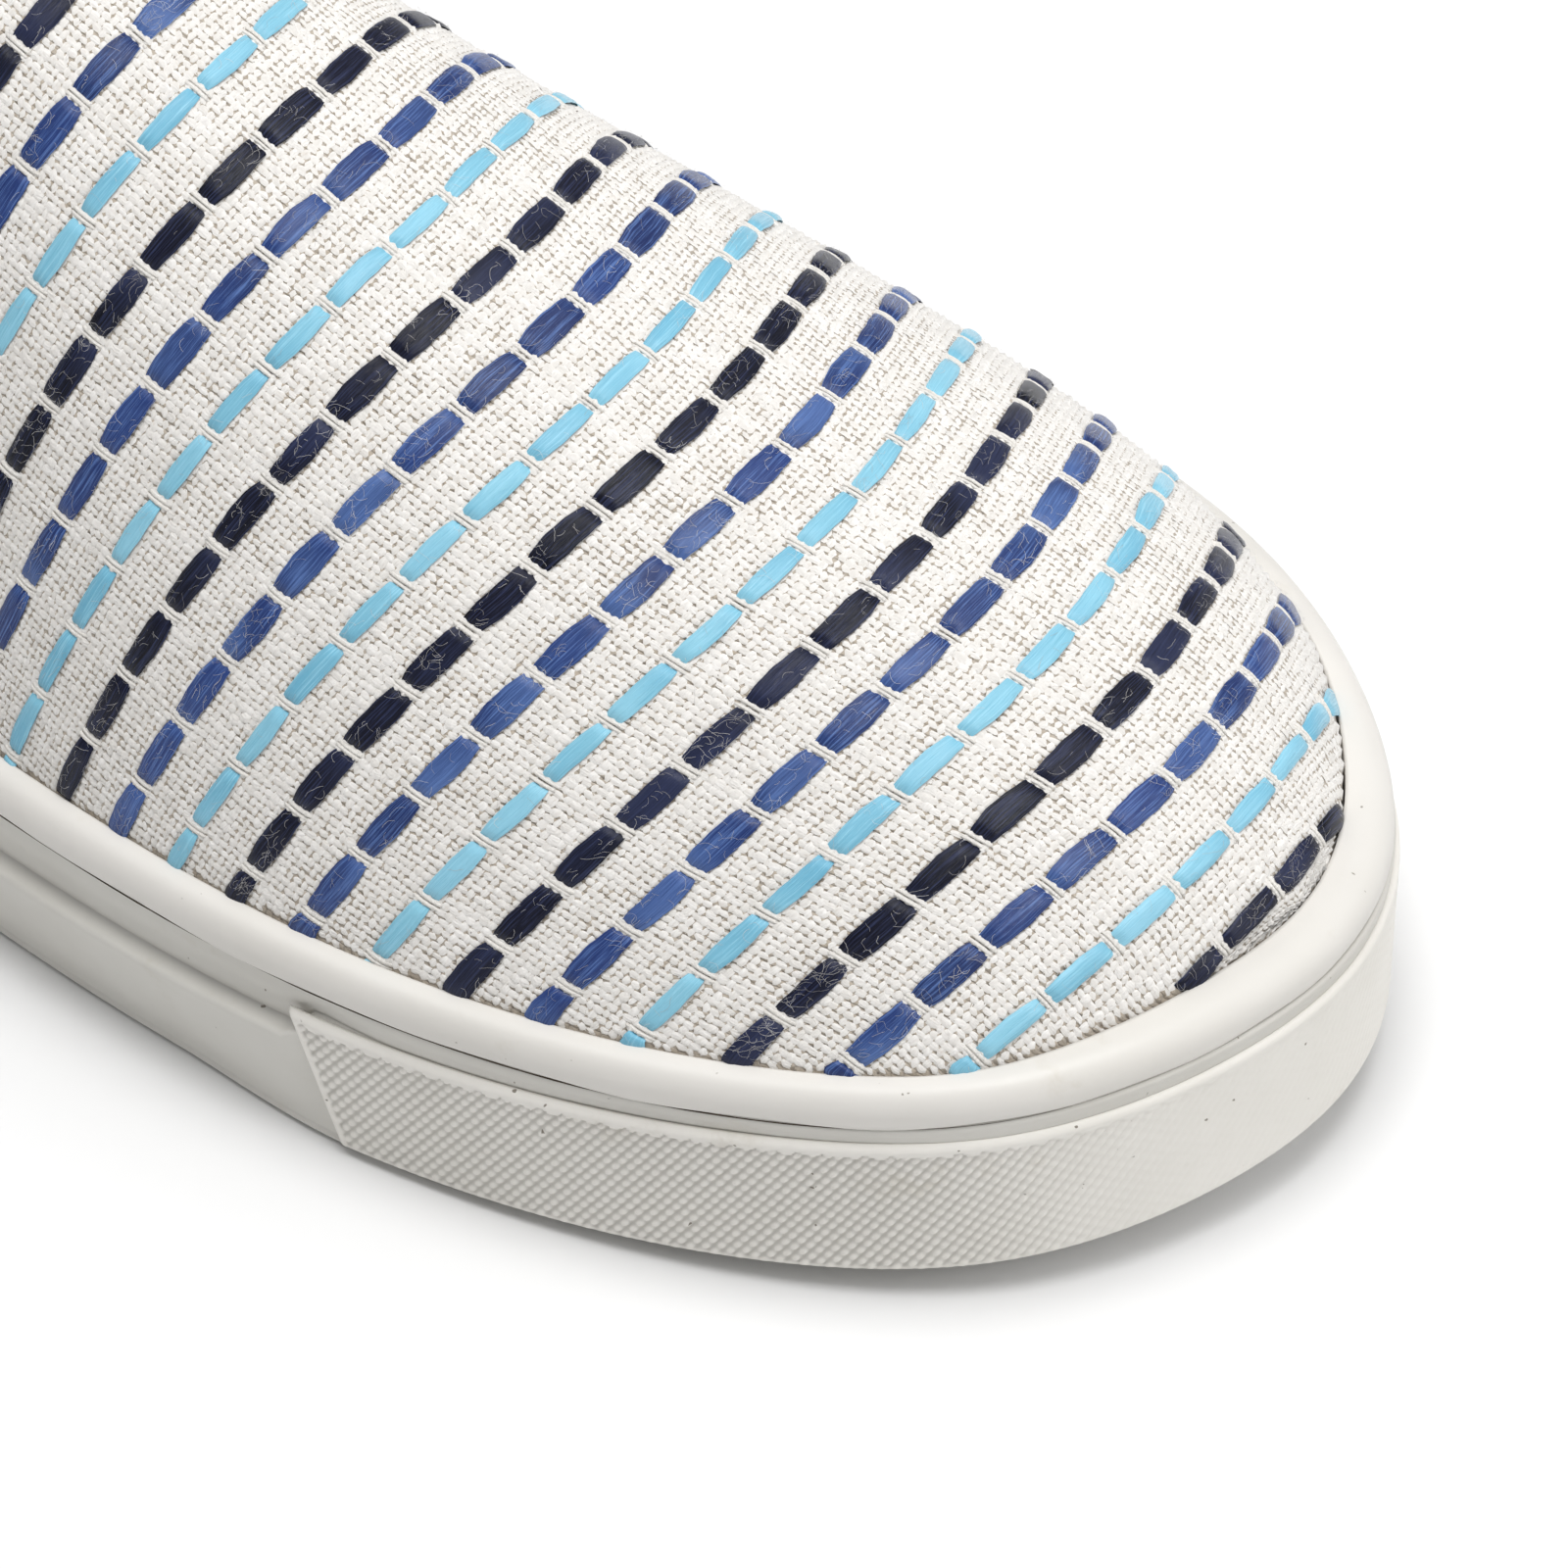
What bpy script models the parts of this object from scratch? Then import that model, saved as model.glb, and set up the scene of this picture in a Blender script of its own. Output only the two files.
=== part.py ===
"""Slip-on canvas shoe for the right foot: rubber cup outsole, cream rand bead, toe bumper, insole and woven upper.

The shoe stands on the XY plane with its toe along +X, its inner (medial) side along +Y and +Z up.
In the tables "along" is a share of the length forward from the back of the heel, "across" a share of the ball
width, positive to the inner side; heights are in millimetres over the floor.
"""

import math
from collections import namedtuple

import bmesh
import bpy
import numpy as np

MM = 0.001

# Driving dimensions, in millimetres
LENGTH = 276.0
BALL_WIDTH = 97.0
UPPER_WALL = 1.8
GAP = 0.3

# The sole's side, from the bottom edge to the feather line, where the canvas comes out of the rand
TOE_SPRING = 5.0
SPRING_START = 0.70
HEEL_BEVEL = 1.5
HEEL_BEVEL_END = 0.05
BOTTOM_EDGE = 0.8
BOTTOM_BEVEL = 2.0
WALL_INSET = 0.8
LIP_RADIUS = 0.9
BAND_INSET = 2.0
RAND_INSET = 0.3
RAND_HEIGHT = 4.0
FEATHER_INSET = 3.5
# Round the toe the rand and the feather line stand back from the wall, most at the tip
TOE_BACK_START = 0.92
TOE_RAND_BACK = 1.0
TOE_FEATHER_BACK = 2.2

# The bumper strip round the toe, and the rise of the wall behind it
BUMPER_START = 0.716
BUMPER_SLANT = 5.0
BUMPER_THICK = 0.5
BUMPER_LIFT = 0.9
BUMPER_BAND = 2.0
BUMPER_EDGE = 0.3
BUMPER_STEPS = 70
BACKING_RAMP = 0.03

# The cup inside the outsole, and the insole that lies in it
CUP_FLOOR = 9.0
INSOLE_THICK = 5.5
INSOLE_EDGE = 0.6

# The last over which the upper is pulled
TOE_ROUND = 42.0
TOE_POWER = 2.3
TOE_EDGE = 0.8
RIDGE_INWARD = 3.0
HEEL_LEAN = 5.0
HEEL_BULGE = 2.2
HEEL_REACH = 80.0

STATIONS = 44
OUTLINE_SAMPLES = 1200
SECTION_STEPS = 22
SECTION_SAMPLES = 201

OutlinePoint = namedtuple("OutlinePoint", "place along across")
OUTLINE = (
    OutlinePoint("heel back", 0.000, -0.020),
    OutlinePoint("outer heel corner", 0.047, -0.271),
    OutlinePoint("outer heel side", 0.152, -0.365),
    OutlinePoint("outer waist", 0.362, -0.420),
    OutlinePoint("outer joint, rear", 0.543, -0.505),
    OutlinePoint("outer joint", 0.678, -0.548),
    OutlinePoint("outer forefoot", 0.783, -0.531),
    OutlinePoint("outer toe", 0.873, -0.466),
    OutlinePoint("outer toe corner", 0.946, -0.348),
    OutlinePoint("toe, outer of tip", 0.988, -0.173),
    OutlinePoint("toe tip", 1.000, -0.010),
    OutlinePoint("toe, inner of tip", 0.982, 0.146),
    OutlinePoint("inner toe corner", 0.934, 0.289),
    OutlinePoint("inner toe", 0.866, 0.398),
    OutlinePoint("inner joint", 0.746, 0.450),
    OutlinePoint("inner waist, front", 0.580, 0.377),
    OutlinePoint("inner waist", 0.406, 0.295),
    OutlinePoint("inner heel side", 0.167, 0.320),
    OutlinePoint("inner heel corner", 0.051, 0.232),
)

# "sole" is the feather line's height over the bottom edge, "band" the recessed band's height under the rand
SideHeight = namedtuple("SideHeight", "place along sole band")
SIDE_HEIGHTS = (
    SideHeight("heel", 0.00, 27.0, 7.0),
    SideHeight("waist", 0.40, 24.4, 6.8),
    SideHeight("ball", 0.69, 23.5, 5.4),
    SideHeight("toe", 1.00, 23.2, 5.0),
)

# "ridge" is the height of the last's top line; "power" shapes the section, larger for a flatter top;
# "edge" shapes its foot, 1 for a slope and less for an upright wall
Section = namedtuple("Section", "place along ridge power edge")
SECTIONS = (
    Section("heel", 0.00, 132.0, 3.0, 0.90),
    Section("ankle", 0.25, 120.0, 3.0, 0.90),
    Section("instep", 0.45, 95.0, 2.5, 0.90),
    Section("throat", 0.54, 82.0, 2.3, 0.90),
    Section("vamp", 0.67, 66.0, 2.3, 0.90),
    Section("ball", 0.78, 55.2, 2.3, 0.90),
    Section("toe box", 0.89, 49.0, 2.3, 0.90),
    Section("toe", 1.00, 47.0, 2.3, 0.90),
)

ToplinePoint = namedtuple("ToplinePoint", "place along height")
TOPLINE = (
    ToplinePoint("over the throat", 0.510, 104.0),
    ToplinePoint("throat", 0.509, 85.0),
    ToplinePoint("throat corner", 0.490, 76.0),
    ToplinePoint("quarter", 0.410, 66.5),
    ToplinePoint("ankle", 0.285, 61.0),
    ToplinePoint("rear quarter", 0.130, 67.0),
    ToplinePoint("heel top", 0.014, 78.0),
    ToplinePoint("behind the heel", -0.050, 81.0),
)
HEEL_TOP = 78.0
TOPLINE_SAMPLES = 40
CUTTER_TOP = 160.0
CUT_WELD = 0.08
CUTTER_HALF_WIDTH = 90.0

# The rand's section: "in" is a share of its width from the outside, "up" a share of its height
RandPoint = namedtuple("RandPoint", "inward up")
RAND_SECTION = (
    RandPoint(1.00, 0.00),
    RandPoint(0.16, 0.00),
    RandPoint(0.03, 0.18),
    RandPoint(0.00, 0.38),
    RandPoint(0.06, 0.59),
    RandPoint(0.20, 0.78),
    RandPoint(0.42, 0.92),
    RandPoint(0.70, 0.99),
    RandPoint(1.00, 1.00),
)

Finish = namedtuple("Finish", "color roughness")
FINISHES = {
    "canvas": Finish((0.80, 0.77, 0.71), 0.9),
    "rand_rubber": Finish((0.83, 0.81, 0.76), 0.45),
    "outsole_rubber": Finish((0.70, 0.69, 0.65), 0.55),
    "insole_fabric": Finish((0.72, 0.69, 0.63), 0.9),
}


def clear_scene():
    for old in list(bpy.data.objects):
        bpy.data.objects.remove(old, do_unlink=True)


def collection(name):
    made = bpy.data.collections.new(name)
    bpy.context.scene.collection.children.link(made)
    return made


def material(name):
    finish = FINISHES[name]
    made = bpy.data.materials.new(name)
    made.use_nodes = True
    shader = made.node_tree.nodes["Principled BSDF"]
    shader.inputs["Base Color"].default_value = (*finish.color, 1.0)
    shader.inputs["Roughness"].default_value = finish.roughness
    shader.inputs["Metallic"].default_value = 0.0
    return made


def spline(knots, values, closed):
    """Cubic spline through the values at the knots: a function of the parameter."""
    count = len(knots)
    steps = np.diff(knots)
    matrix = np.zeros((count, count))
    right = np.zeros((count, values.shape[1]))
    slopes = np.diff(values, axis=0) / steps[:, None]
    for i in range(1, count - 1):
        matrix[i, i - 1 : i + 2] = steps[i - 1], 2 * (steps[i - 1] + steps[i]), steps[i]
        right[i] = 6 * (slopes[i] - slopes[i - 1])
    matrix[0, 0] = matrix[-1, -1] = 1.0
    if closed:
        matrix[0, [0, 1, -2]] = 2 * (steps[0] + steps[-1]), steps[0], steps[-1]
        right[0] = 6 * (slopes[0] - slopes[-1])
        matrix[-1, [0, -1]] = 1.0, -1.0
    bends = np.linalg.solve(matrix, right)

    def at(t):
        t = np.asarray(t, float)
        i = np.clip(np.searchsorted(knots, t, side="right") - 1, 0, count - 2)
        h = steps[i][:, None]
        a = (knots[i + 1] - t)[:, None] / h
        b = 1.0 - a
        curve = a * values[i] + b * values[i + 1]
        return curve + ((a**3 - a) * bends[i] + (b**3 - b) * bends[i + 1]) * h**2 / 6.0

    return at


def chord_knots(points):
    """Parameter of each point: the square roots of the chords, added up."""
    chords = np.sqrt(np.linalg.norm(np.diff(points, axis=0), axis=1))
    return np.concatenate([[0.0], np.cumsum(chords)])


def table_column(rows, column):
    """A smooth function of the place along, in millimetres, through one column of a table."""
    knots = np.array([row.along * LENGTH for row in rows])
    curve = spline(knots, np.array([[getattr(row, column)] for row in rows]), closed=False)
    return lambda along: curve(np.clip(np.atleast_1d(along), knots[0], knots[-1]))[:, 0]


sole_height = table_column(SIDE_HEIGHTS, "sole")
side_band = table_column(SIDE_HEIGHTS, "band")
ridge_height = table_column(SECTIONS, "ridge")
section_power = table_column(SECTIONS, "power")
section_edge = table_column(SECTIONS, "edge")


def smooth_step(value, start, end):
    share = np.clip((value - start) / (end - start), 0.0, 1.0)
    return share * share * (3.0 - 2.0 * share)


def base_outline():
    """The outline of the sole's widest line, closed, as dense points and their outward normals."""
    points = np.array([(row.along * LENGTH, row.across * BALL_WIDTH) for row in OUTLINE])
    points = np.vstack([points, points[:1]])
    knots = chord_knots(points)
    curve = spline(knots, points, closed=True)
    dense = curve(np.linspace(0.0, knots[-1], OUTLINE_SAMPLES + 1))[:-1]
    ahead = np.roll(dense, -1, axis=0) - np.roll(dense, 1, axis=0)
    normals = np.stack([ahead[:, 1], -ahead[:, 0]], axis=1)
    return dense, normals / np.linalg.norm(normals, axis=1)[:, None]


DENSE, NORMALS = base_outline()
CENTRE = (DENSE.min(axis=0) + DENSE.max(axis=0) + np.array([RAND_INSET, 0.0])) / 2.0
HEEL_INDEX = int(DENSE[:, 0].argmin())
TOE_INDEX = int(DENSE[:, 0].argmax())
TOE_SHARE = smooth_step(DENSE[:, 0], TOE_BACK_START * LENGTH, LENGTH)
FEATHER = FEATHER_INSET + TOE_FEATHER_BACK * TOE_SHARE
RAND_EDGE = RAND_INSET + TOE_RAND_BACK * TOE_SHARE


def side_indices(start, end):
    """Indices into the dense outline from one point on to another."""
    return np.arange(start, start + (end - start) % OUTLINE_SAMPLES + 1) % OUTLINE_SAMPLES


def stations():
    """Indices into the dense outline, heel to toe, for the outer and the inner side, at the same places along."""
    turn = np.pi * np.arange(STATIONS + 1) / STATIONS
    wanted = LENGTH * (1.0 - np.cos(turn)) / 2.0
    picks = []
    for side in (side_indices(HEEL_INDEX, TOE_INDEX), side_indices(TOE_INDEX, HEEL_INDEX)[::-1]):
        pick = side[np.abs(DENSE[side, 0][:, None] - wanted).argmin(axis=0)]
        pick[0], pick[-1] = HEEL_INDEX, TOE_INDEX
        picks.append(pick)
    return picks


OUTER, INNER = stations()
RING = np.concatenate([OUTER, INNER[-2:0:-1]])


def inset(indices, distance):
    """Points of the outline moved inwards, by one distance or by one for each dense point."""
    by_point = np.broadcast_to(distance, OUTLINE_SAMPLES)[indices]
    return DENSE[indices] - NORMALS[indices] * by_point[:, None]


def floor_line(along):
    """Height of the outsole's bottom edge: flat, with toe spring and a small bevel at the heel."""
    spring_start = SPRING_START * LENGTH
    bevel_end = HEEL_BEVEL_END * LENGTH
    toe = np.clip((along - spring_start) / (LENGTH - spring_start), 0.0, 1.0)
    heel = np.clip((bevel_end - along) / bevel_end, 0.0, 1.0)
    return TOE_SPRING * toe**2 + HEEL_BEVEL * heel**2


def feather_line(along):
    """Height where the canvas comes out of the rand."""
    return floor_line(along) + sole_height(along)


def band_top(along):
    """Height of the outsole's top, under the rand."""
    return feather_line(along) - RAND_HEIGHT


def bumper_top(along):
    return band_top(along) - BUMPER_BAND


def wall_top(along):
    """Height of the lip where the outsole's wall steps in to the band; it rises to back the bumper."""
    start = BUMPER_START * LENGTH
    ramp = smooth_step(along, start, start + BACKING_RAMP * LENGTH)
    plain = band_top(along) - side_band(along)
    return plain + (bumper_top(along) - GAP - plain) * ramp


def cup_floor(along):
    return floor_line(along) + CUP_FLOOR


def to_world(points):
    points = np.asarray(points, float).copy()
    points[:, :2] -= CENTRE
    return points * MM


def add_object(name, points, faces, finish, where):
    mesh = bpy.data.meshes.new(name)
    mesh.from_pydata(to_world(points).tolist(), [], faces)
    made = bpy.data.objects.new(name, mesh)
    where.objects.link(made)
    bm = bmesh.new()
    bm.from_mesh(mesh)
    bmesh.ops.remove_doubles(bm, verts=bm.verts, dist=0.02 * MM)
    bmesh.ops.recalc_face_normals(bm, faces=bm.faces)
    bm.to_mesh(mesh)
    bm.free()
    mesh.shade_smooth()
    mesh.set_sharp_from_angle(angle=math.radians(35))
    if finish:
        mesh.materials.append(material(finish))
    return made


def ring_points(distance, height):
    """One closed ring round the shoe at an inset, with its height from a function of along."""
    flat = inset(RING, distance)
    return np.column_stack([flat, height(flat[:, 0])])


def band_faces(rows, columns, closed):
    """Quads between neighbouring rows of points."""
    faces = []
    for row in range(rows - 1):
        for i in range(columns if closed else columns - 1):
            j = (i + 1) % columns
            faces.append([row * columns + k for k in (i, j)] + [(row + 1) * columns + k for k in (j, i)])
    return faces


def cap_faces(start):
    """A cap of strips across a ring, from the heel point to the toe point."""
    count = len(RING)
    half = STATIONS
    faces = []
    for i in range(half):
        corners = [i, i + 1, (count - i - 1) % count, (count - i) % count]
        faces.append([start + k for k in dict.fromkeys(corners)])
    return faces


def stacked_solid(name, rings, finish, where):
    """A solid from a stack of rings, closed by strips across the first and the last."""
    count = len(RING)
    faces = band_faces(len(rings), count, closed=True)
    faces += cap_faces(0)
    faces += cap_faces((len(rings) - 1) * count)
    return add_object(name, np.vstack(rings), faces, finish, where)


def hoop_solid(name, rings, finish, where):
    """A hoop whose section is the closed line through the rings."""
    faces = band_faces(len(rings) + 1, len(RING), closed=True)
    total = len(rings) * len(RING)
    faces = [[k % total for k in face] for face in faces]
    return add_object(name, np.vstack(rings), faces, finish, where)


def outsole(where):
    """Cup: bottom, upright wall, rounded lip, recessed band, and the pocket for upper and insole."""
    rounding = LIP_RADIUS * (1.0 - math.sqrt(0.5))
    rows = (
        (WALL_INSET + BOTTOM_BEVEL, floor_line),
        (WALL_INSET, lambda x: floor_line(x) + BOTTOM_EDGE),
        (WALL_INSET, lambda x: wall_top(x) - LIP_RADIUS),
        (WALL_INSET + rounding, lambda x: wall_top(x) - rounding),
        (WALL_INSET + LIP_RADIUS, wall_top),
        (BAND_INSET, wall_top),
        (BAND_INSET, band_top),
        (FEATHER - GAP, band_top),
        (FEATHER - GAP, cup_floor),
    )
    rings = [ring_points(distance, height) for distance, height in rows]
    return stacked_solid("outsole", rings, "outsole_rubber", where)


def rand(where):
    """Bead round the foot of the upper: flat below, half round outside, thin at the canvas."""
    width = FEATHER - GAP - RAND_EDGE
    height = RAND_HEIGHT - GAP
    rings = []
    for row in RAND_SECTION:
        lift = GAP + height * row.up
        rings.append(ring_points(RAND_EDGE + width * row.inward, lambda x, lift=lift: band_top(x) + lift))
    return hoop_solid("rand", rings, "rand_rubber", where)


def toe_bumper(where):
    """Strip round the toe, proud of the wall, with slanted ends and a bevelled top edge."""
    back = WALL_INSET - GAP
    face = back - BUMPER_THICK
    profile = ((back, 0.0), (face, 0.0), (face, 1.0), (face + BUMPER_EDGE, 1.02), (back, 1.02))
    strip = side_indices(HEEL_INDEX, HEEL_INDEX - 1)
    rings = []
    for distance, share in profile:
        ahead = BUMPER_START * LENGTH + BUMPER_SLANT * (1.0 - share)
        path = strip[DENSE[strip, 0] > ahead]
        path = path[np.linspace(0, len(path) - 1, BUMPER_STEPS + 1).round().astype(int)]
        flat = inset(path, distance)
        low = floor_line(flat[:, 0]) + BUMPER_LIFT
        rings.append(np.column_stack([flat, low + (bumper_top(flat[:, 0]) - low) * share]))
    columns = BUMPER_STEPS + 1
    faces = band_faces(len(rings), columns, closed=False)
    last = (len(rings) - 1) * columns
    faces += [[last + i, last + i + 1, i + 1, i] for i in range(columns - 1)]
    faces += [[row * columns + end for row in range(len(rings))] for end in (0, columns - 1)]
    return add_object("toe_bumper", np.vstack(rings), faces, "outsole_rubber", where)


def insole(where):
    """Footbed sheet inside the upper."""
    edge = FEATHER + UPPER_WALL + GAP
    rows = (
        (edge, GAP),
        (edge, GAP + INSOLE_THICK - INSOLE_EDGE),
        (edge + INSOLE_EDGE, GAP + INSOLE_THICK),
    )
    rings = [ring_points(distance, lambda x, lift=lift: cup_floor(x) + lift) for distance, lift in rows]
    return stacked_solid("insole", rings, "insole_fabric", where)


def toe_rounding(along, tip):
    """0 at the toe's tip and 1 behind the round of the toe."""
    behind = np.clip((tip - along) / TOE_ROUND, 0.0, 1.0)
    return (1.0 - (1.0 - behind) ** TOE_POWER) ** TOE_EDGE


def heel_shift(along, share):
    """Forward lean and backward bulge of the heel's wall at a share of its height."""
    near = np.clip(1.0 - along / HEEL_REACH, 0.0, 1.0) ** 2
    return near * (HEEL_LEAN * share**2 - HEEL_BULGE * np.sin(np.pi * np.clip(share, 0.0, 1.0)))


def section_shape(half, rise, power, edge):
    """Shares across (1 outside to -1 inside) and up, evenly spaced along the section's own line."""
    across = np.cos(np.linspace(0.0, np.pi, SECTION_SAMPLES))
    up = (1.0 - np.abs(across) ** power) ** edge
    run = np.hypot(np.diff(across) * half, np.diff(up) * rise)
    length = np.concatenate([[0.0], np.cumsum(run)])
    even = np.linspace(0.0, length[-1], SECTION_STEPS + 1)
    return np.interp(even, length, across), np.interp(even, length, up)


def last_surface(depth):
    """Sections of the last at a depth under the canvas, heel to toe, each from the outer to the inner edge."""
    outer = inset(OUTER, FEATHER + depth)
    inner = inset(INNER, FEATHER + depth)
    middle = (outer + inner) / 2.0
    half = (outer - inner) / 2.0
    along = middle[:, 0]
    foot = feather_line(along)
    round_off = toe_rounding(along, along[-1])
    rise = (ridge_height(along) - depth - foot) * round_off
    power, edge = section_power(along), section_edge(along)
    sections = []
    for i in range(STATIONS + 1):
        across, up = section_shape(np.linalg.norm(half[i]), rise[i], power[i], edge[i])
        points = np.zeros((SECTION_STEPS + 1, 3))
        points[:, :2] = middle[i] + half[i] * across[:, None]
        points[:, 0] += heel_shift(along[i], rise[i] * up / (HEEL_TOP - foot[i]))
        points[:, 1] += RIDGE_INWARD * up * round_off[i]
        points[:, 2] = foot[i] + rise[i] * up
        skirt = points[[0, -1]].copy()
        skirt[:, 2] = cup_floor(skirt[:, 0]) + GAP
        sections.append(np.vstack([skirt[:1], points, skirt[1:]]))
    return np.vstack(sections)


def upper(where, tools):
    """Woven shell over the last, open below and cut out along the topline."""
    columns = SECTION_STEPS + 3
    skin = last_surface(0.0)
    lining = last_surface(UPPER_WALL)
    inside = len(skin)
    faces = band_faces(STATIONS + 1, columns, closed=False)
    faces += [[inside + k for k in face] for face in faces]
    for edge in (0, columns - 1):
        for i in range(STATIONS):
            here, ahead = i * columns + edge, (i + 1) * columns + edge
            faces.append([here, ahead, inside + ahead, inside + here])
    made = add_object("upper", np.vstack([skin, lining]), faces, "canvas", where)
    opening = made.modifiers.new("collar", "BOOLEAN")
    opening.operation = "DIFFERENCE"
    opening.object = collar_cutter(tools)
    tidy = made.modifiers.new("cut edge", "WELD")
    tidy.merge_threshold = CUT_WELD * MM
    return made


def collar_cutter(tools):
    """Prism across the shoe whose lower edge is the topline seen from the side."""
    line = np.array([(row.along * LENGTH, row.height) for row in TOPLINE])
    knots = chord_knots(line)
    edge = spline(knots, line, closed=False)(np.linspace(0.0, knots[-1], TOPLINE_SAMPLES))
    roof = [(edge[-1, 0], CUTTER_TOP), (edge[0, 0], CUTTER_TOP)]
    outline = np.vstack([edge, roof])
    count = len(outline)
    points = [
        (along, across, height)
        for across in (-CUTTER_HALF_WIDTH, CUTTER_HALF_WIDTH)
        for along, height in outline
    ]
    faces = band_faces(2, count, closed=True)
    faces += [list(range(count)), list(range(2 * count - 1, count - 1, -1))]
    made = add_object("collar_cutter", points, faces, None, tools)
    made.hide_render = True
    made.display_type = "WIRE"
    return made


def main():
    clear_scene()
    shoe = collection("slip_on_shoe")
    tools = collection("cutters")
    tools.hide_render = True
    outsole(shoe)
    rand(shoe)
    toe_bumper(shoe)
    insole(shoe)
    upper(shoe, tools)


main()
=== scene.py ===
"""Looks of the slip-on canvas shoe: rubber cup sole with knurled toe bumper, cream rand, striped woven upper.

Lengths in the tables and functions are millimetres in the shoe's own frame: along from the back of the heel
to the toe, across to the inner side, up from the floor. Points become metres of the row frame in add_mesh.
"""

import math

import bmesh
import bpy
import numpy as np
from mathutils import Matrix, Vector


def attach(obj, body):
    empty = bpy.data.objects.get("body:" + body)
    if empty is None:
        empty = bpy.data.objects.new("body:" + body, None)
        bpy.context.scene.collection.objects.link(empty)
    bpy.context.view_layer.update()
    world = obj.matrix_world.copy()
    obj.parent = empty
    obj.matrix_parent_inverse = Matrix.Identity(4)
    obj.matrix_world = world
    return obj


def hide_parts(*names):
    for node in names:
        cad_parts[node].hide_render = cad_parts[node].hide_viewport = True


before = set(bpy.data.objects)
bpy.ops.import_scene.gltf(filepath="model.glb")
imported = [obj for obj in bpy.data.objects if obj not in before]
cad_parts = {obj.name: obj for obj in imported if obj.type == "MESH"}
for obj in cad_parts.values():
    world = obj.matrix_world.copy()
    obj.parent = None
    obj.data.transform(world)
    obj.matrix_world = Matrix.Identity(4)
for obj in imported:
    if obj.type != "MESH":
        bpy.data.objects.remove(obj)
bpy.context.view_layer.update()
MM = 0.001
TINY = 1e-9
RANDOM = np.random.RandomState(7)
FULL_TURN = 6.3

# Sizes shared with the solids
LENGTH = 276.0
BALL_WIDTH = 97.0
UPPER_WALL = 1.8
GAP = 0.3
TOE_SPRING = 5.0
SPRING_START = 0.70
HEEL_BEVEL = 1.5
HEEL_BEVEL_END = 0.05
WALL_INSET = 0.8
RAND_INSET = 0.3
RAND_HEIGHT = 4.0
FEATHER_INSET = 3.5
TOE_BACK_START = 0.92
TOE_RAND_BACK = 0.4
TOE_FEATHER_BACK = 2.2
BUMPER_START = 0.716
BUMPER_SLANT = 5.0
BUMPER_THICK = 0.5
BUMPER_LIFT = 0.9
BUMPER_BAND = 2.0
CUP_FLOOR = 9.0
INSOLE_THICK = 5.5
TOE_ROUND = 42.0
TOE_POWER = 2.3
TOE_EDGE = 0.8
SECTION_EDGE = 0.90
RIDGE_INWARD = 3.0
HEEL_LEAN = 5.0
HEEL_BULGE = 2.2
HEEL_REACH = 80.0
HEEL_TOP = 78.0

# Small shifts of the sole's edge that the solids don't have
BUMPER_DIP = 1.2
BUMPER_DIP_END = 0.92
BUMPER_CLEAR = 0.02
BACKING_RAMP = 0.010
SIDE_DROP = 0.9

# along, across as shares of the length and of the ball width
OUTLINE = (
    (0.000, -0.020), (0.047, -0.271), (0.152, -0.365), (0.362, -0.420), (0.543, -0.505),
    (0.678, -0.548), (0.783, -0.531), (0.873, -0.466), (0.946, -0.348), (0.988, -0.173),
    (1.000, -0.010), (0.982, 0.146), (0.934, 0.289), (0.866, 0.398), (0.746, 0.450),
    (0.580, 0.377), (0.406, 0.295), (0.167, 0.320), (0.051, 0.232),
)
# along, sole, band
SIDE_HEIGHTS = ((0.00, 27.0, 7.0), (0.40, 24.4, 6.8), (0.69, 23.5, 5.4), (1.00, 23.2, 5.0))
# along, ridge, power
SECTIONS = (
    (0.00, 132.0, 3.0), (0.25, 120.0, 3.0), (0.45, 95.0, 2.5), (0.54, 82.0, 2.3),
    (0.67, 66.0, 2.3), (0.78, 55.2, 2.3), (0.89, 49.0, 2.3), (1.00, 47.0, 2.3),
)
# along, height
TOPLINE = (
    (0.510, 104.0), (0.509, 85.0), (0.490, 76.0), (0.410, 66.5),
    (0.285, 61.0), (0.130, 67.0), (0.014, 78.0), (-0.050, 81.0),
)
# inward, up
RAND_SECTION = (
    (1.00, 0.00), (0.09, 0.00), (0.015, 0.09), (0.00, 0.25), (0.04, 0.47),
    (0.16, 0.70), (0.38, 0.89), (0.68, 0.98), (1.00, 1.00),
)


def spline(knots, values, closed=False):
    """Cubic spline through the values at the knots: a function of the parameter."""
    count = len(knots)
    steps = np.diff(knots)
    matrix = np.zeros((count, count))
    right = np.zeros((count, values.shape[1]))
    slopes = np.diff(values, axis=0) / steps[:, None]
    for i in range(1, count - 1):
        matrix[i, i - 1 : i + 2] = steps[i - 1], 2 * (steps[i - 1] + steps[i]), steps[i]
        right[i] = 6 * (slopes[i] - slopes[i - 1])
    matrix[0, 0] = matrix[-1, -1] = 1.0
    if closed:
        matrix[0, [0, 1, -2]] = 2 * (steps[0] + steps[-1]), steps[0], steps[-1]
        right[0] = 6 * (slopes[0] - slopes[-1])
        matrix[-1, [0, -1]] = 1.0, -1.0
    bends = np.linalg.solve(matrix, right)

    def at(t):
        t = np.asarray(t, float)
        i = np.clip(np.searchsorted(knots, t, side="right") - 1, 0, count - 2)
        h = steps[i][:, None]
        a = (knots[i + 1] - t)[:, None] / h
        b = 1.0 - a
        curve = a * values[i] + b * values[i + 1]
        return curve + ((a**3 - a) * bends[i] + (b**3 - b) * bends[i + 1]) * h**2 / 6.0

    return at


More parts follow.
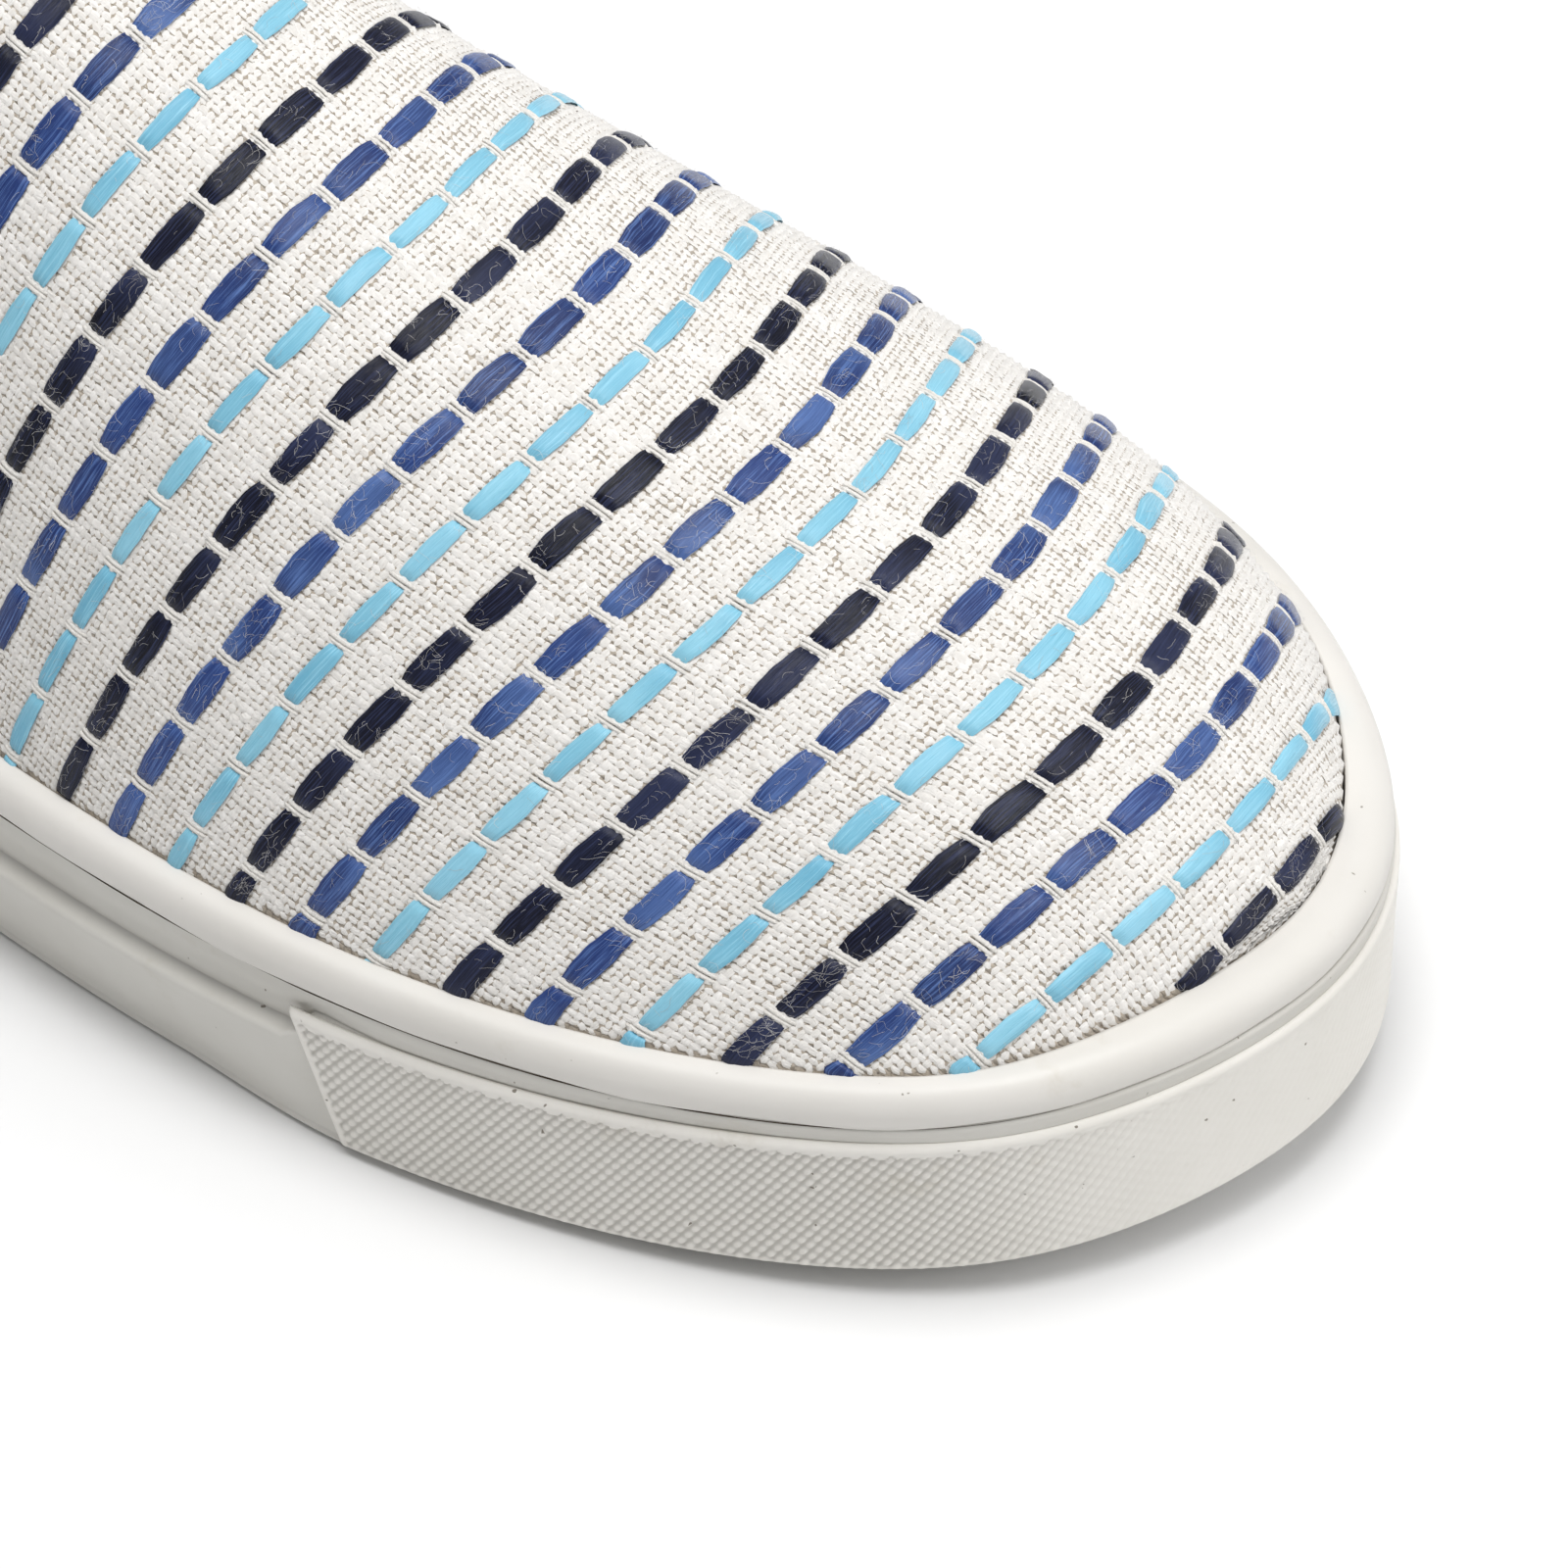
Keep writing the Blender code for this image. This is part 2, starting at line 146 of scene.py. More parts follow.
def smooth_line(points, count, closed=False):
    """Points in even steps of the parameter on a spline through the given points."""
    chords = np.sqrt(np.linalg.norm(np.diff(points, axis=0), axis=1))
    knots = np.insert(np.cumsum(chords), 0, 0.0)
    return spline(knots, points, closed)(np.linspace(0.0, knots[-1], count))


def unit(vectors):
    """The same vectors, one long."""
    return vectors / np.maximum(np.linalg.norm(vectors, axis=-1), TINY)[..., None]


def run_length(points, axis=0):
    """The distance walked along lines of points, from 0 at the first point."""
    steps = np.linalg.norm(np.diff(points, axis=axis), axis=-1)
    return np.insert(np.cumsum(steps, axis=axis), 0, 0.0, axis=axis)


def columns_at(places, knots, rows):
    """Each column of a table of rows, interpolated at the places."""
    return np.stack([np.interp(places, knots, column) for column in rows.T], -1)


def turns(sides):
    return 2 * np.pi * np.arange(sides) / sides


def table_column(rows, column):
    knots = np.array([row[0] * LENGTH for row in rows])
    curve = spline(knots, np.array([[row[column]] for row in rows]))
    return lambda along: curve(np.clip(np.ravel(along), knots[0], knots[-1]))[:, 0].reshape(np.shape(along))


sole_height = table_column(SIDE_HEIGHTS, 1)
side_band = table_column(SIDE_HEIGHTS, 2)
ridge_height = table_column(SECTIONS, 1)
section_power = table_column(SECTIONS, 2)


def smooth_step(value, start, end):
    share = np.clip((value - start) / (end - start), 0.0, 1.0)
    return share * share * (3.0 - 2.0 * share)


def along_step(along, start, end):
    """A smooth step between two shares of the length."""
    return smooth_step(along, start * LENGTH, end * LENGTH)


OUTLINE_SAMPLES = 2400


def base_outline():
    """The outline of the sole's widest line as dense points and their outward normals."""
    points = np.array(OUTLINE) * (LENGTH, BALL_WIDTH)
    dense = smooth_line(np.vstack([points, points[:1]]), OUTLINE_SAMPLES + 1, closed=True)[:-1]
    ahead = np.roll(dense, -1, axis=0) - np.roll(dense, 1, axis=0)
    return dense, unit(np.stack([ahead[:, 1], -ahead[:, 0]], axis=1))


DENSE, NORMALS = base_outline()
CENTRE = (DENSE.min(axis=0) + DENSE.max(axis=0) + np.array([RAND_INSET, 0.0])) / 2.0
HEEL_INDEX = int(DENSE[:, 0].argmin())
TOE_INDEX = int(DENSE[:, 0].argmax())
TOE_SHARE = along_step(DENSE[:, 0], TOE_BACK_START, 1.0)
FEATHER = FEATHER_INSET + TOE_FEATHER_BACK * TOE_SHARE
RAND_EDGE = RAND_INSET + TOE_RAND_BACK * TOE_SHARE


def floor_line(along):
    spring_start = SPRING_START * LENGTH
    bevel_end = HEEL_BEVEL_END * LENGTH
    toe = np.clip((along - spring_start) / (LENGTH - spring_start), 0.0, 1.0)
    heel = np.clip((bevel_end - along) / bevel_end, 0.0, 1.0)
    return TOE_SPRING * toe**2 + HEEL_BEVEL * heel**2


def feather_line(along):
    return floor_line(along) + sole_height(along)


def band_top(along):
    return feather_line(along) - RAND_HEIGHT


def bumper_top(along):
    dip = BUMPER_DIP * (1.0 - along_step(along, BUMPER_START, BUMPER_DIP_END))
    return band_top(along) - BUMPER_BAND - dip


def wall_top(along):
    ramp = along_step(along, BUMPER_START, BUMPER_START + BACKING_RAMP)
    plain = band_top(along) - side_band(along) - SIDE_DROP
    return plain + (bumper_top(along) - BUMPER_CLEAR - plain) * ramp


def cup_floor(along):
    return floor_line(along) + CUP_FLOOR


def add_object(name, data):
    made = bpy.data.objects.new(name, data)
    bpy.context.scene.collection.objects.link(made)
    return made


def add_mesh(name, points, faces, material, uv=None, weld=0.0, slots=None):
    """A new object from points in millimetres of the shoe's frame, with one UV pair for each point."""
    points = np.array(points, float)
    points[:, :2] -= CENTRE
    mesh = bpy.data.meshes.new(name)
    mesh.from_pydata((points * MM).tolist(), [], [list(map(int, face)) for face in faces])
    if uv is not None:
        layer = mesh.uv_layers.new(name="fabric")
        corner = np.zeros(len(mesh.loops), np.int32)
        mesh.loops.foreach_get("vertex_index", corner)
        layer.data.foreach_set("uv", np.asarray(uv, np.float32)[corner].ravel())
    if slots is not None:
        mesh.polygons.foreach_set("material_index", np.asarray(slots, np.int32))
    made = add_object(name, mesh)
    bm = bmesh.new()
    bm.from_mesh(mesh)
    if weld:
        bmesh.ops.remove_doubles(bm, verts=bm.verts, dist=weld * MM)
    bmesh.ops.recalc_face_normals(bm, faces=bm.faces)
    bm.to_mesh(mesh)
    bm.free()
    mesh.shade_smooth()
    if material:
        mesh.materials.append(material)
    return made


def band_faces(rows, columns, closed=False, looped=False):
    """Quads between rows of points; closed joins each row's ends, looped joins the last row to the first."""
    row, i = np.meshgrid(np.arange(rows - 1 + looped), np.arange(columns - 1 + closed), indexing="ij")
    here, ahead, j = row * columns, (row + 1) % rows * columns, (i + 1) % columns
    return np.stack([here + i, here + j, ahead + j, ahead + i], -1).reshape(-1, 4).tolist()


def repeat_faces(faces, per, count):
    """The same faces for each of many equal pieces with so many points per piece."""
    return (np.array(faces) + per * np.arange(count)[:, None, None]).reshape(count * len(faces), -1).tolist()


def side_path(start, end):
    return np.arange(start, start + (end - start) % OUTLINE_SAMPLES + 1) % OUTLINE_SAMPLES


RING_SIDE = 240
SIDE_PATHS = side_path(HEEL_INDEX, TOE_INDEX), side_path(TOE_INDEX, HEEL_INDEX)


def ring_indices():
    """Dense outline points, evenly spaced on each side: heel to toe on the outer, back on the inner side."""
    picks = []
    for path in SIDE_PATHS:
        length = run_length(DENSE[path])
        even = np.linspace(0.0, length[-1], RING_SIDE + 1)[:-1]
        picks.append(path[np.searchsorted(length, even)])
    return np.concatenate(picks)


RING = ring_indices()


def ring_points(distance, height, lift=0.0):
    by_point = np.broadcast_to(distance, OUTLINE_SAMPLES)[RING]
    flat = DENSE[RING] - NORMALS[RING] * by_point[:, None]
    return np.column_stack([flat, height(flat[:, 0]) + lift])


def cap_faces(start):
    """A cap of strips across a ring, from the heel point to the toe point."""
    count = len(RING)
    faces = []
    for i in range(RING_SIDE):
        corners = [i, i + 1, (count - i - 1) % count, (count - i) % count]
        faces.append([start + k for k in dict.fromkeys(corners)])
    return faces


RING_WELD = 0.01


def capped_rings(name, rings, material, mapped=False):
    """A closed solid of rings, capped at the first and the last."""
    points = np.vstack(rings)
    faces = band_faces(len(rings), len(RING), closed=True)
    faces += cap_faces(0) + cap_faces((len(rings) - 1) * len(RING))
    return add_mesh(name, points, faces, material, points[:, :2] if mapped else None, RING_WELD)


class Nodes:
    """Short hand for building one material's nodes."""

    def __init__(self, name):
        self.material = bpy.data.materials.new(name)
        self.material.use_nodes = True
        self.tree = self.material.node_tree
        self.shader = self.tree.nodes["Principled BSDF"]

    def node(self, kind, inputs=(), **settings):
        made = self.tree.nodes.new(kind)
        for key, value in settings.items():
            setattr(made, key, value)
        for key, value in dict(inputs).items():
            self.plug(made.inputs[key], value)
        return made

    def plug(self, socket, value):
        if isinstance(value, bpy.types.NodeSocket):
            self.tree.links.new(value, socket)
        else:
            socket.default_value = value

    def math(self, operation, *values):
        return self.node("ShaderNodeMath", enumerate(values), operation=operation).outputs[0]

    def plus(self, a, b, scale):
        """The sum of a and the scaled b."""
        return self.math("ADD", a, self.math("MULTIPLY", b, scale))

    def noise(self, vector, scale, detail=2.0, roughness=0.5, output="Fac"):
        inputs = {"Vector": vector, "Scale": scale, "Detail": detail, "Roughness": roughness}
        return self.node("ShaderNodeTexNoise", inputs).outputs[output]

    def streaks(self, vector, stretch, scale, detail, roughness):
        """Noise on coordinates that are stretched by a pair of factors."""
        way = self.node("ShaderNodeMapping", {"Vector": vector, "Scale": (*stretch, 1.0)})
        return self.noise(way.outputs[0], scale, detail, roughness)

    def ramp(self, value, low, high, to_low=0.0, to_high=1.0):
        inputs = {"Value": value, "From Min": low, "From Max": high, "To Min": to_low, "To Max": to_high}
        return self.node("ShaderNodeMapRange", inputs, interpolation_type="SMOOTHSTEP").outputs["Result"]

    def mix(self, share, a, b):
        return self.node("ShaderNodeMix", {"Factor": share, 6: a, 7: b}, data_type="RGBA").outputs[2]

    def tones(self, value, dark, light):
        """Two tones that follow a noise."""
        return self.mix(self.ramp(value, 0.3, 0.7), dark, light)

    def tint(self, color, other, share, value, low, high):
        """A colour drawn to another by up to a share, as the value goes from low to high."""
        return self.mix(self.ramp(value, low, high, 0.0, share), color, other)

    def position(self):
        return self.node("ShaderNodeNewGeometry").outputs["Position"]

    def fabric(self):
        """The two fabric coordinates as a vector, in millimetres."""
        return self.node("ShaderNodeUVMap", uv_map="fabric").outputs[0]

    def parts(self, vector):
        return self.node("ShaderNodeSeparateXYZ", {0: vector}).outputs

    def bump(self, height, distance, strength):
        inputs = {"Height": height, "Distance": distance, "Strength": strength}
        return self.node("ShaderNodeBump", inputs).outputs[0]

    def finish(self, color, roughness, normal=None, **constants):
        inputs = {"Base Color": color, "Roughness": roughness, **constants}
        if normal is not None:
            inputs["Normal"] = normal
        for key, value in inputs.items():
            self.plug(self.shader.inputs[key.replace("_", " ")], value)
        return self.material


def rgb(r, g, b):
    """Linear colour from sRGB shares of 255."""
    linear = [((c / 255 + 0.055) / 1.055) ** 2.4 if c > 10 else c / 255 / 12.92 for c in (r, g, b)]
    return (*linear, 1.0)


WARP_PITCH = 0.76
WEFT_PITCH = 0.805
COTTON = {"Sheen_Weight": 0.25, "Sheen_Roughness": 0.6, "Specular_IOR_Level": 0.2}
CLOTH = {"Sheen_Weight": 0.2, "Specular_IOR_Level": 0.2}
RIBBON_ROUGHNESS = 0.26
# width, material, middle tone, deep tone, painted sheen tone and specular level of each colour's ribbon
RIBBONS = {
    "navy": (2.5, "ribbon_navy", rgb(18, 20, 39), rgb(8, 9, 20), rgb(50, 57, 88), 0.24),
    "light": (1.9, "ribbon_light_blue", rgb(137, 196, 217), rgb(106, 172, 200), rgb(152, 208, 229), 0.34),
    "blue": (2.65, "ribbon_blue", rgb(38, 61, 120), rgb(24, 40, 88), rgb(92, 122, 180), 0.36),
}


def weave(n, warp_pitch, weft_pitch, wobble):
    """Height of a plain weave from 0 to 1, and by how much the warp lies over the weft."""
    flat = n.fabric()
    slow = n.parts(n.noise(flat, 0.35, 2.0, 0.5, "Color"))
    quick = n.parts(n.noise(flat, 1.3, 1.0, 0.5, "Color"))
    shifted = []
    for axis, pitch in enumerate((weft_pitch, warp_pitch)):
        sway = n.math("SUBTRACT", n.plus(quick[axis], slow[axis], 1.6), 1.3)
        shifted.append(n.math("DIVIDE", n.plus(n.parts(flat)[axis], sway, wobble), pitch))
    heights = []
    for (along, across), lift in ((shifted, 0.5), (shifted[::-1], -0.5)):
        turn = n.math("SUBTRACT", n.math("MULTIPLY", n.math("FRACT", across), 2.0), 1.0)
        round_off = n.math("SQRT", n.math("SUBTRACT", 1.0, n.math("MULTIPLY", turn, turn)))
        phase = n.math("ADD", n.math("SUBTRACT", along, 0.5), n.math("FLOOR", across))
        wave = n.math("COSINE", n.math("MULTIPLY", phase, math.pi))
        heights.append(n.plus(n.math("MULTIPLY", wave, lift), round_off, 0.55))
    return flat, n.ramp(n.math("MAXIMUM", *heights), 0.0, 1.0), n.math("SUBTRACT", *heights)


def yarn_way_material(name, way):
    """Cotton yarn with fibres along its own way, slubs in its tone, brownish dust and a few dark flecks."""
    n = Nodes(name)
    flat = n.fabric()
    turn = 1 if way == 0 else -1
    fibre = n.streaks(flat, (0.55, 3.2)[::turn], 2.4, 3.0, 0.65)
    slubs = n.streaks(flat, (0.12, 1.1)[::turn], 1.0, 2.0, 0.5)
    color = n.tones(slubs, rgb(229, 226, 221), rgb(241, 239, 236))
    color = n.tint(color, rgb(207, 201, 194), 0.40, fibre, 0.62, 0.34)
    color = n.tint(color, rgb(190, 174, 156), 0.32, n.noise(flat, 0.75, 4.0, 0.7), 0.58, 0.74)
    color = n.tint(color, rgb(88, 76, 66), 0.85, n.noise(flat, 2.1), 0.755, 0.79)
    return n.finish(color, 0.93, n.bump(fibre, 0.00016, 0.8), **COTTON)


def canvas_material():
    """The ground of the canvas, seen in the pits between the yarns, drawn darker as painted shade for the
    pits.
    """
    n = Nodes("canvas_weave")
    flat, height, over = weave(n, WARP_PITCH, WEFT_PITCH, 0.28)
    warp, weft = (n.streaks(flat, stretch, 2.6, 3.0, 0.65) for stretch in ((0.5, 3.0), (3.0, 0.5)))
    fibre = n.node("ShaderNodeMix", {0: n.ramp(over, -0.1, 0.1), 2: weft, 3: warp}).outputs[0]
    nub = n.ramp(n.noise(flat, 1.15, 2.0, 0.6), 0.25, 0.75, 0.65, 1.15)
    relief = n.plus(n.math("MULTIPLY", height, nub), fibre, 0.35)
    # painted shade: the ground's yarn tones are darker than the yarns that lie on it
    yarn = n.tones(n.noise(flat, 0.55, 3.0, 0.6), rgb(178, 167, 152), rgb(200, 191, 178))
    yarn = n.tint(yarn, rgb(158, 145, 129), 0.55, fibre, 0.75, 0.3)
    # painted shade: the weave's low places take the darker pit colour, for the shade between the yarns
    color = n.mix(n.ramp(height, 0.02, 0.62), rgb(134, 121, 106), yarn)
    color = n.tint(color, rgb(140, 122, 102), 0.35, n.noise(flat, 0.8, 4.0, 0.7), 0.60, 0.74)
    color = n.tint(color, rgb(92, 80, 70), 0.8, n.noise(flat, 1.9), 0.755, 0.80)
    return n.finish(color, 0.92, n.bump(relief, 0.00042, 0.9), **COTTON)


def plain_cloth_material(name, light, dark, pitch, distance):
    n = Nodes(name)
    flat, height, _ = weave(n, pitch, pitch, 0.15)
    # painted shade: the weave's low places are drawn in the darker tone
    color = n.mix(n.ramp(height, 0.0, 0.7), dark, light)
    color = n.tint(color, dark, 0.3, n.noise(flat, 0.4, 3.0), 0.35, 0.7)
    return n.finish(color, 0.93, n.bump(height, distance, 0.8), **CLOTH)


def ribbon_material(name, shade, deep, painted_sheen, specular):
    """Shiny viscose with strands along the float, with painted sheen on some floats and along the strands."""
    n = Nodes(name)
    flat = n.fabric()
    strands = n.streaks(flat, (0.09, 3.2), 1.6, 3.0, 0.7)
    fine = n.streaks(flat, (0.12, 11.0), 1.6, 2.0, 0.6)
    color = n.tones(n.noise(flat, 0.045), deep, shade)
    # painted sheen: whole floats, picked by a slow noise, are lightened towards the sheen tone
    color = n.tint(color, painted_sheen, 0.6, n.noise(flat, 0.06, 1.0), 0.50, 0.66)
    # painted sheen along the strands and fine streaks, with the deep tone between them
    color = n.tint(color, painted_sheen, 0.8, strands, 0.47, 0.66)
    color = n.tint(color, deep, 0.8, strands, 0.40, 0.28)
    color = n.tint(color, painted_sheen, 0.6, fine, 0.56, 0.70)
    color = n.tint(color, deep, 0.6, fine, 0.44, 0.32)
    normal = n.bump(n.plus(strands, fine, 0.8), 0.00012, 0.6)
    return n.finish(color, RIBBON_ROUGHNESS, normal, Specular_IOR_Level=specular)


def yarn_material(name, light, dark):
    n = Nodes(name)
    flat = n.fabric()
    twist = n.node("ShaderNodeTexWave", {"Vector": flat, "Scale": 0.9, "Distortion": 3.0, "Detail": 2.0})
    strands = n.streaks(flat, (0.6, 4.0), 2.2, 3.0, 0.7)
    height = n.plus(strands, twist.outputs["Fac"], 0.4)
    return n.finish(n.tones(strands, dark, light), 0.9, n.bump(height, 0.00012, 0.8), **CLOTH)


def rubber_material(name, light, dark, roughness, speck, sink, groove_shade=False):
    """Rubber with clouds, dark specks and smears; for the knurl, painted shade darkens its grooves."""
    n = Nodes(name)
    place = n.position()
    color = n.tones(n.noise(place, 28.0, 4.0, 0.6), dark, light)
    if groove_shade:
        # painted shade: the knurl's grooves, read from the second fabric coordinate, are drawn greyer
        color = n.tint(color, rgb(150, 147, 138), 0.50, n.parts(n.fabric())[1], 0.7, 0.0)
    color = n.tint(color, rgb(96, 84, 66), speck, n.noise(place, 800.0), 0.745, 0.775)
    color = n.tint(color, rgb(186, 178, 160), 0.35, n.noise(place, 95.0, 5.0, 0.7), 0.60, 0.78)
    gloss = n.ramp(n.noise(place, 60.0, 4.0, 0.6), 0.3, 0.7, roughness - 0.06, roughness + 0.10)
    grain = n.plus(n.noise(place, 900.0), n.noise(place, 110.0, 3.0), 1.5)
    return n.finish(color, gloss, n.bump(grain, sink, 0.5), Specular_IOR_Level=0.4)


def fuzz_material():
    n = Nodes("cotton_fuzz")
    color = n.tones(n.noise(n.position(), 300.0, 1.0), rgb(160, 157, 155), rgb(214, 212, 210))
    return n.finish(color, 0.9, Specular_IOR_Level=0.2)


def gap_shadow_material():
    n = Nodes("seam_gap_shadow")
    # painted shadow: a dark brown tube colour that stands in for the shade in the gap under the bead
    color = n.mix(n.noise(n.position(), 250.0), rgb(62, 54, 46), rgb(104, 94, 83))
    return n.finish(color, 0.95, Specular_IOR_Level=0.1)


# The outsole: inset from the outline and height, from the bottom edge over the lip and band to the cup
LIP = 0.5
LIP_PROUD = 1.1
SIDE_FILL = 0.72
SIDE_TAPER = 1.4
TAPER_START = 0.66
TAPER_END = 0.74
TOE_FILL_START = 0.86
TOE_FILL_END = 0.95
TOE_LIP = 0.1
TOE_BAND = 0.50
TOE_BAND_RELIEF = 0.25
TOE_BAND_CROWN = 0.30
BAND_MEAN = 1.25
# inset, share of the band's height
BAND_PROFILE = (
    (1.56, 0.02), (1.44, 0.08), (1.40, 0.16), (1.42, 0.24), (1.46, 0.32),
    (1.44, 0.40), (1.36, 0.48), (1.26, 0.55), (1.18, 0.62), (1.14, 0.70),
    (1.14, 0.78), (1.12, 0.86), (1.06, 0.93), (1.02, 0.97), (1.10, 1.00),
)
# inset from the wall's foot, height over the floor line
BOTTOM_EDGE = (
    (7.0, 0.0), (1.6, 0.0), (0.5, 0.10), (0.02, 0.35), (-0.10, 0.55),
    (-0.10, 0.78), (0.12, 0.98), (0.02, 1.4), (0.0, 2.2),
)
WALL_FOOT = BOTTOM_EDGE[-1][1]
WALL_SHARES = (0.2, 0.4, 0.6, 0.8, 0.93)
LIP_STEPS = 7
SIDE_FILL_LENGTH = 0.04
CROWN_START = 0.85
LEDGE = 2.9
CUP_WALL_TOP = -3.0


def outsole_rows():
    """(inset, height, lift) of each ring, from the bottom edge over the lip and band into the cup."""
    along = DENSE[:, 0]
    edge = WALL_INSET + SIDE_TAPER * (1.0 - along_step(along, TAPER_START, TAPER_END))
    top = WALL_INSET - LIP_PROUD * (1.0 - along_step(along, BUMPER_START, BUMPER_START + BACKING_RAMP))
    toe = SIDE_FILL * along_step(along, BUMPER_START, BUMPER_START + SIDE_FILL_LENGTH)
    toe = toe + (1.0 - SIDE_FILL) * along_step(along, TOE_FILL_START, TOE_FILL_END)
    lip = LIP * (1.0 - (1.0 - TOE_LIP) * toe)

    def wall(share):
        return lambda x: floor_line(x) + WALL_FOOT + (wall_top(x) - LIP - floor_line(x) - WALL_FOOT) * share

    def band(share):
        return lambda x: wall_top(x) + (band_top(x) - wall_top(x)) * share

    rows = [(edge + inset, floor_line, lift) for inset, lift in BOTTOM_EDGE]
    rows += [(edge + (top - edge) * share, wall(share), 0.0) for share in WALL_SHARES]
    for turn in np.linspace(0.0, math.pi / 2, LIP_STEPS):
        rows.append((top + lip * (1 - math.cos(turn)), wall_top, LIP * (math.sin(turn) - 1.0)))
    for inset, share in BAND_PROFILE:
        filled = TOE_BAND + TOE_BAND_RELIEF * (inset - BAND_MEAN)
        filled += TOE_BAND_CROWN * smooth_step(share, CROWN_START, 1.0)
        rows.append((inset + (filled - inset) * toe, band(share), 0.0))
    pocket = FEATHER - GAP
    rows += [(LEDGE, band_top, 0.0), (pocket, band_top, 0.0)]
    return rows + [(pocket, band_top, CUP_WALL_TOP), (pocket, cup_floor, 0.0)]


def outsole(material):
    made = capped_rings("outsole_rubber_cup", [ring_points(*row) for row in outsole_rows()], material)
    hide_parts("outsole")
    return made


RAND_STEPS = 25
BEAD_CLEAR = 0.06
BEAD_LOW = 0.25
BEAD_INNER = 0.5
# height, phase, and waves for each millimetre along and across, of the bead's uneven lower edge
BEAD_WAVES = ((0.09, 2.0, (0.31, 0.0)), (0.07, 0.0, (0.12, 0.47)))


def rand(material):
    """The bead: a smooth line through the section, closed underneath."""
    width = FEATHER - GAP - RAND_EDGE
    section = np.vstack([RAND_SECTION[:1], smooth_line(np.array(RAND_SECTION[1:]), RAND_STEPS)])
    wander = sum(height * np.sin(DENSE @ waves + phase) for height, phase, waves in BEAD_WAVES)
    rings = []
    for inward, up in section:
        low = np.clip(1.0 - up / BEAD_LOW, 0.0, 1.0) * (inward < BEAD_INNER)
        reach = inward * np.where(low > 0.0, width.min(), width)
        lift = BEAD_CLEAR + (RAND_HEIGHT - BEAD_CLEAR) * up
        rings.append(ring_points(RAND_EDGE + reach + wander * low, band_top, lift))
    faces = band_faces(len(rings), len(RING), closed=True, looped=True)
    made = add_mesh("rand_bead", np.vstack(rings), faces, material)
    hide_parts("rand")
    return made


# A dark tube that paints the shadow of the gap line under the bead, ragged in width and thin round the toe
SEAM_INSET = 0.56
SEAM_DROP = 0.03
SEAM_RADIUS = 0.08
SEAM_TOE = 0.2
SEAM_FADE = (0.84, 0.97)
SEAM_SIDES = 5
SEAM_WAVES = (23, 41, 67, 101, 139)
SEAM_MEAN = 0.9
SEAM_WAVE = 0.04
SEAM_SPREAD = 0.1
SEAM_LIMITS = (0.55, 1.35)


def seam_line(material):
    count = len(RING)
    ragged = sum(np.sin(k * turns(count) + RANDOM.uniform(0, FULL_TURN)) for k in SEAM_WAVES)
    ragged = SEAM_MEAN + SEAM_WAVE * ragged + RANDOM.normal(0.0, SEAM_SPREAD, count)
    radius = SEAM_RADIUS * np.clip(ragged, *SEAM_LIMITS)
    radius = radius * (1.0 - (1.0 - SEAM_TOE) * along_step(DENSE[RING, 0], *SEAM_FADE))
    middle = ring_points(SEAM_INSET + TOE_RAND_BACK * TOE_SHARE, band_top, -SEAM_DROP)
    out, up = np.column_stack([NORMALS[RING], np.zeros(count)]), np.array([0.0, 0.0, 1.0])
    rings = [middle + radius[:, None] * (out * np.cos(a) + up * np.sin(a)) for a in turns(SEAM_SIDES)]
    faces = band_faces(SEAM_SIDES, count, closed=True, looped=True)
    return add_mesh("seam_line", np.vstack(rings), faces, material)


# The bumper's knurl: slanted rows of small points that fade towards the toe's tip
BUMPER_TALL = 16.6
KNURL_WAYS = ((0.64, 0.94), (0.79, -0.54))
KNURL_STEP = 0.235
KNURL_HEIGHT = 0.36
KNURL_SHARPNESS = 1.3
KNURL_RIDGE = 0.35
KNURL_BORDER = 1.3
KNURL_FOOT = (0.15, 0.5)
KNURL_ENDS = (0.6, 0.9)
KNURL_TIP = 0.25
KNURL_FADE = (8.0, 46.0)
# reach and depth of the rounding at the top, the foot and the ends
BUMPER_ROUND = ((0.6, 0.45), (0.4, 0.3), (0.5, 0.35))


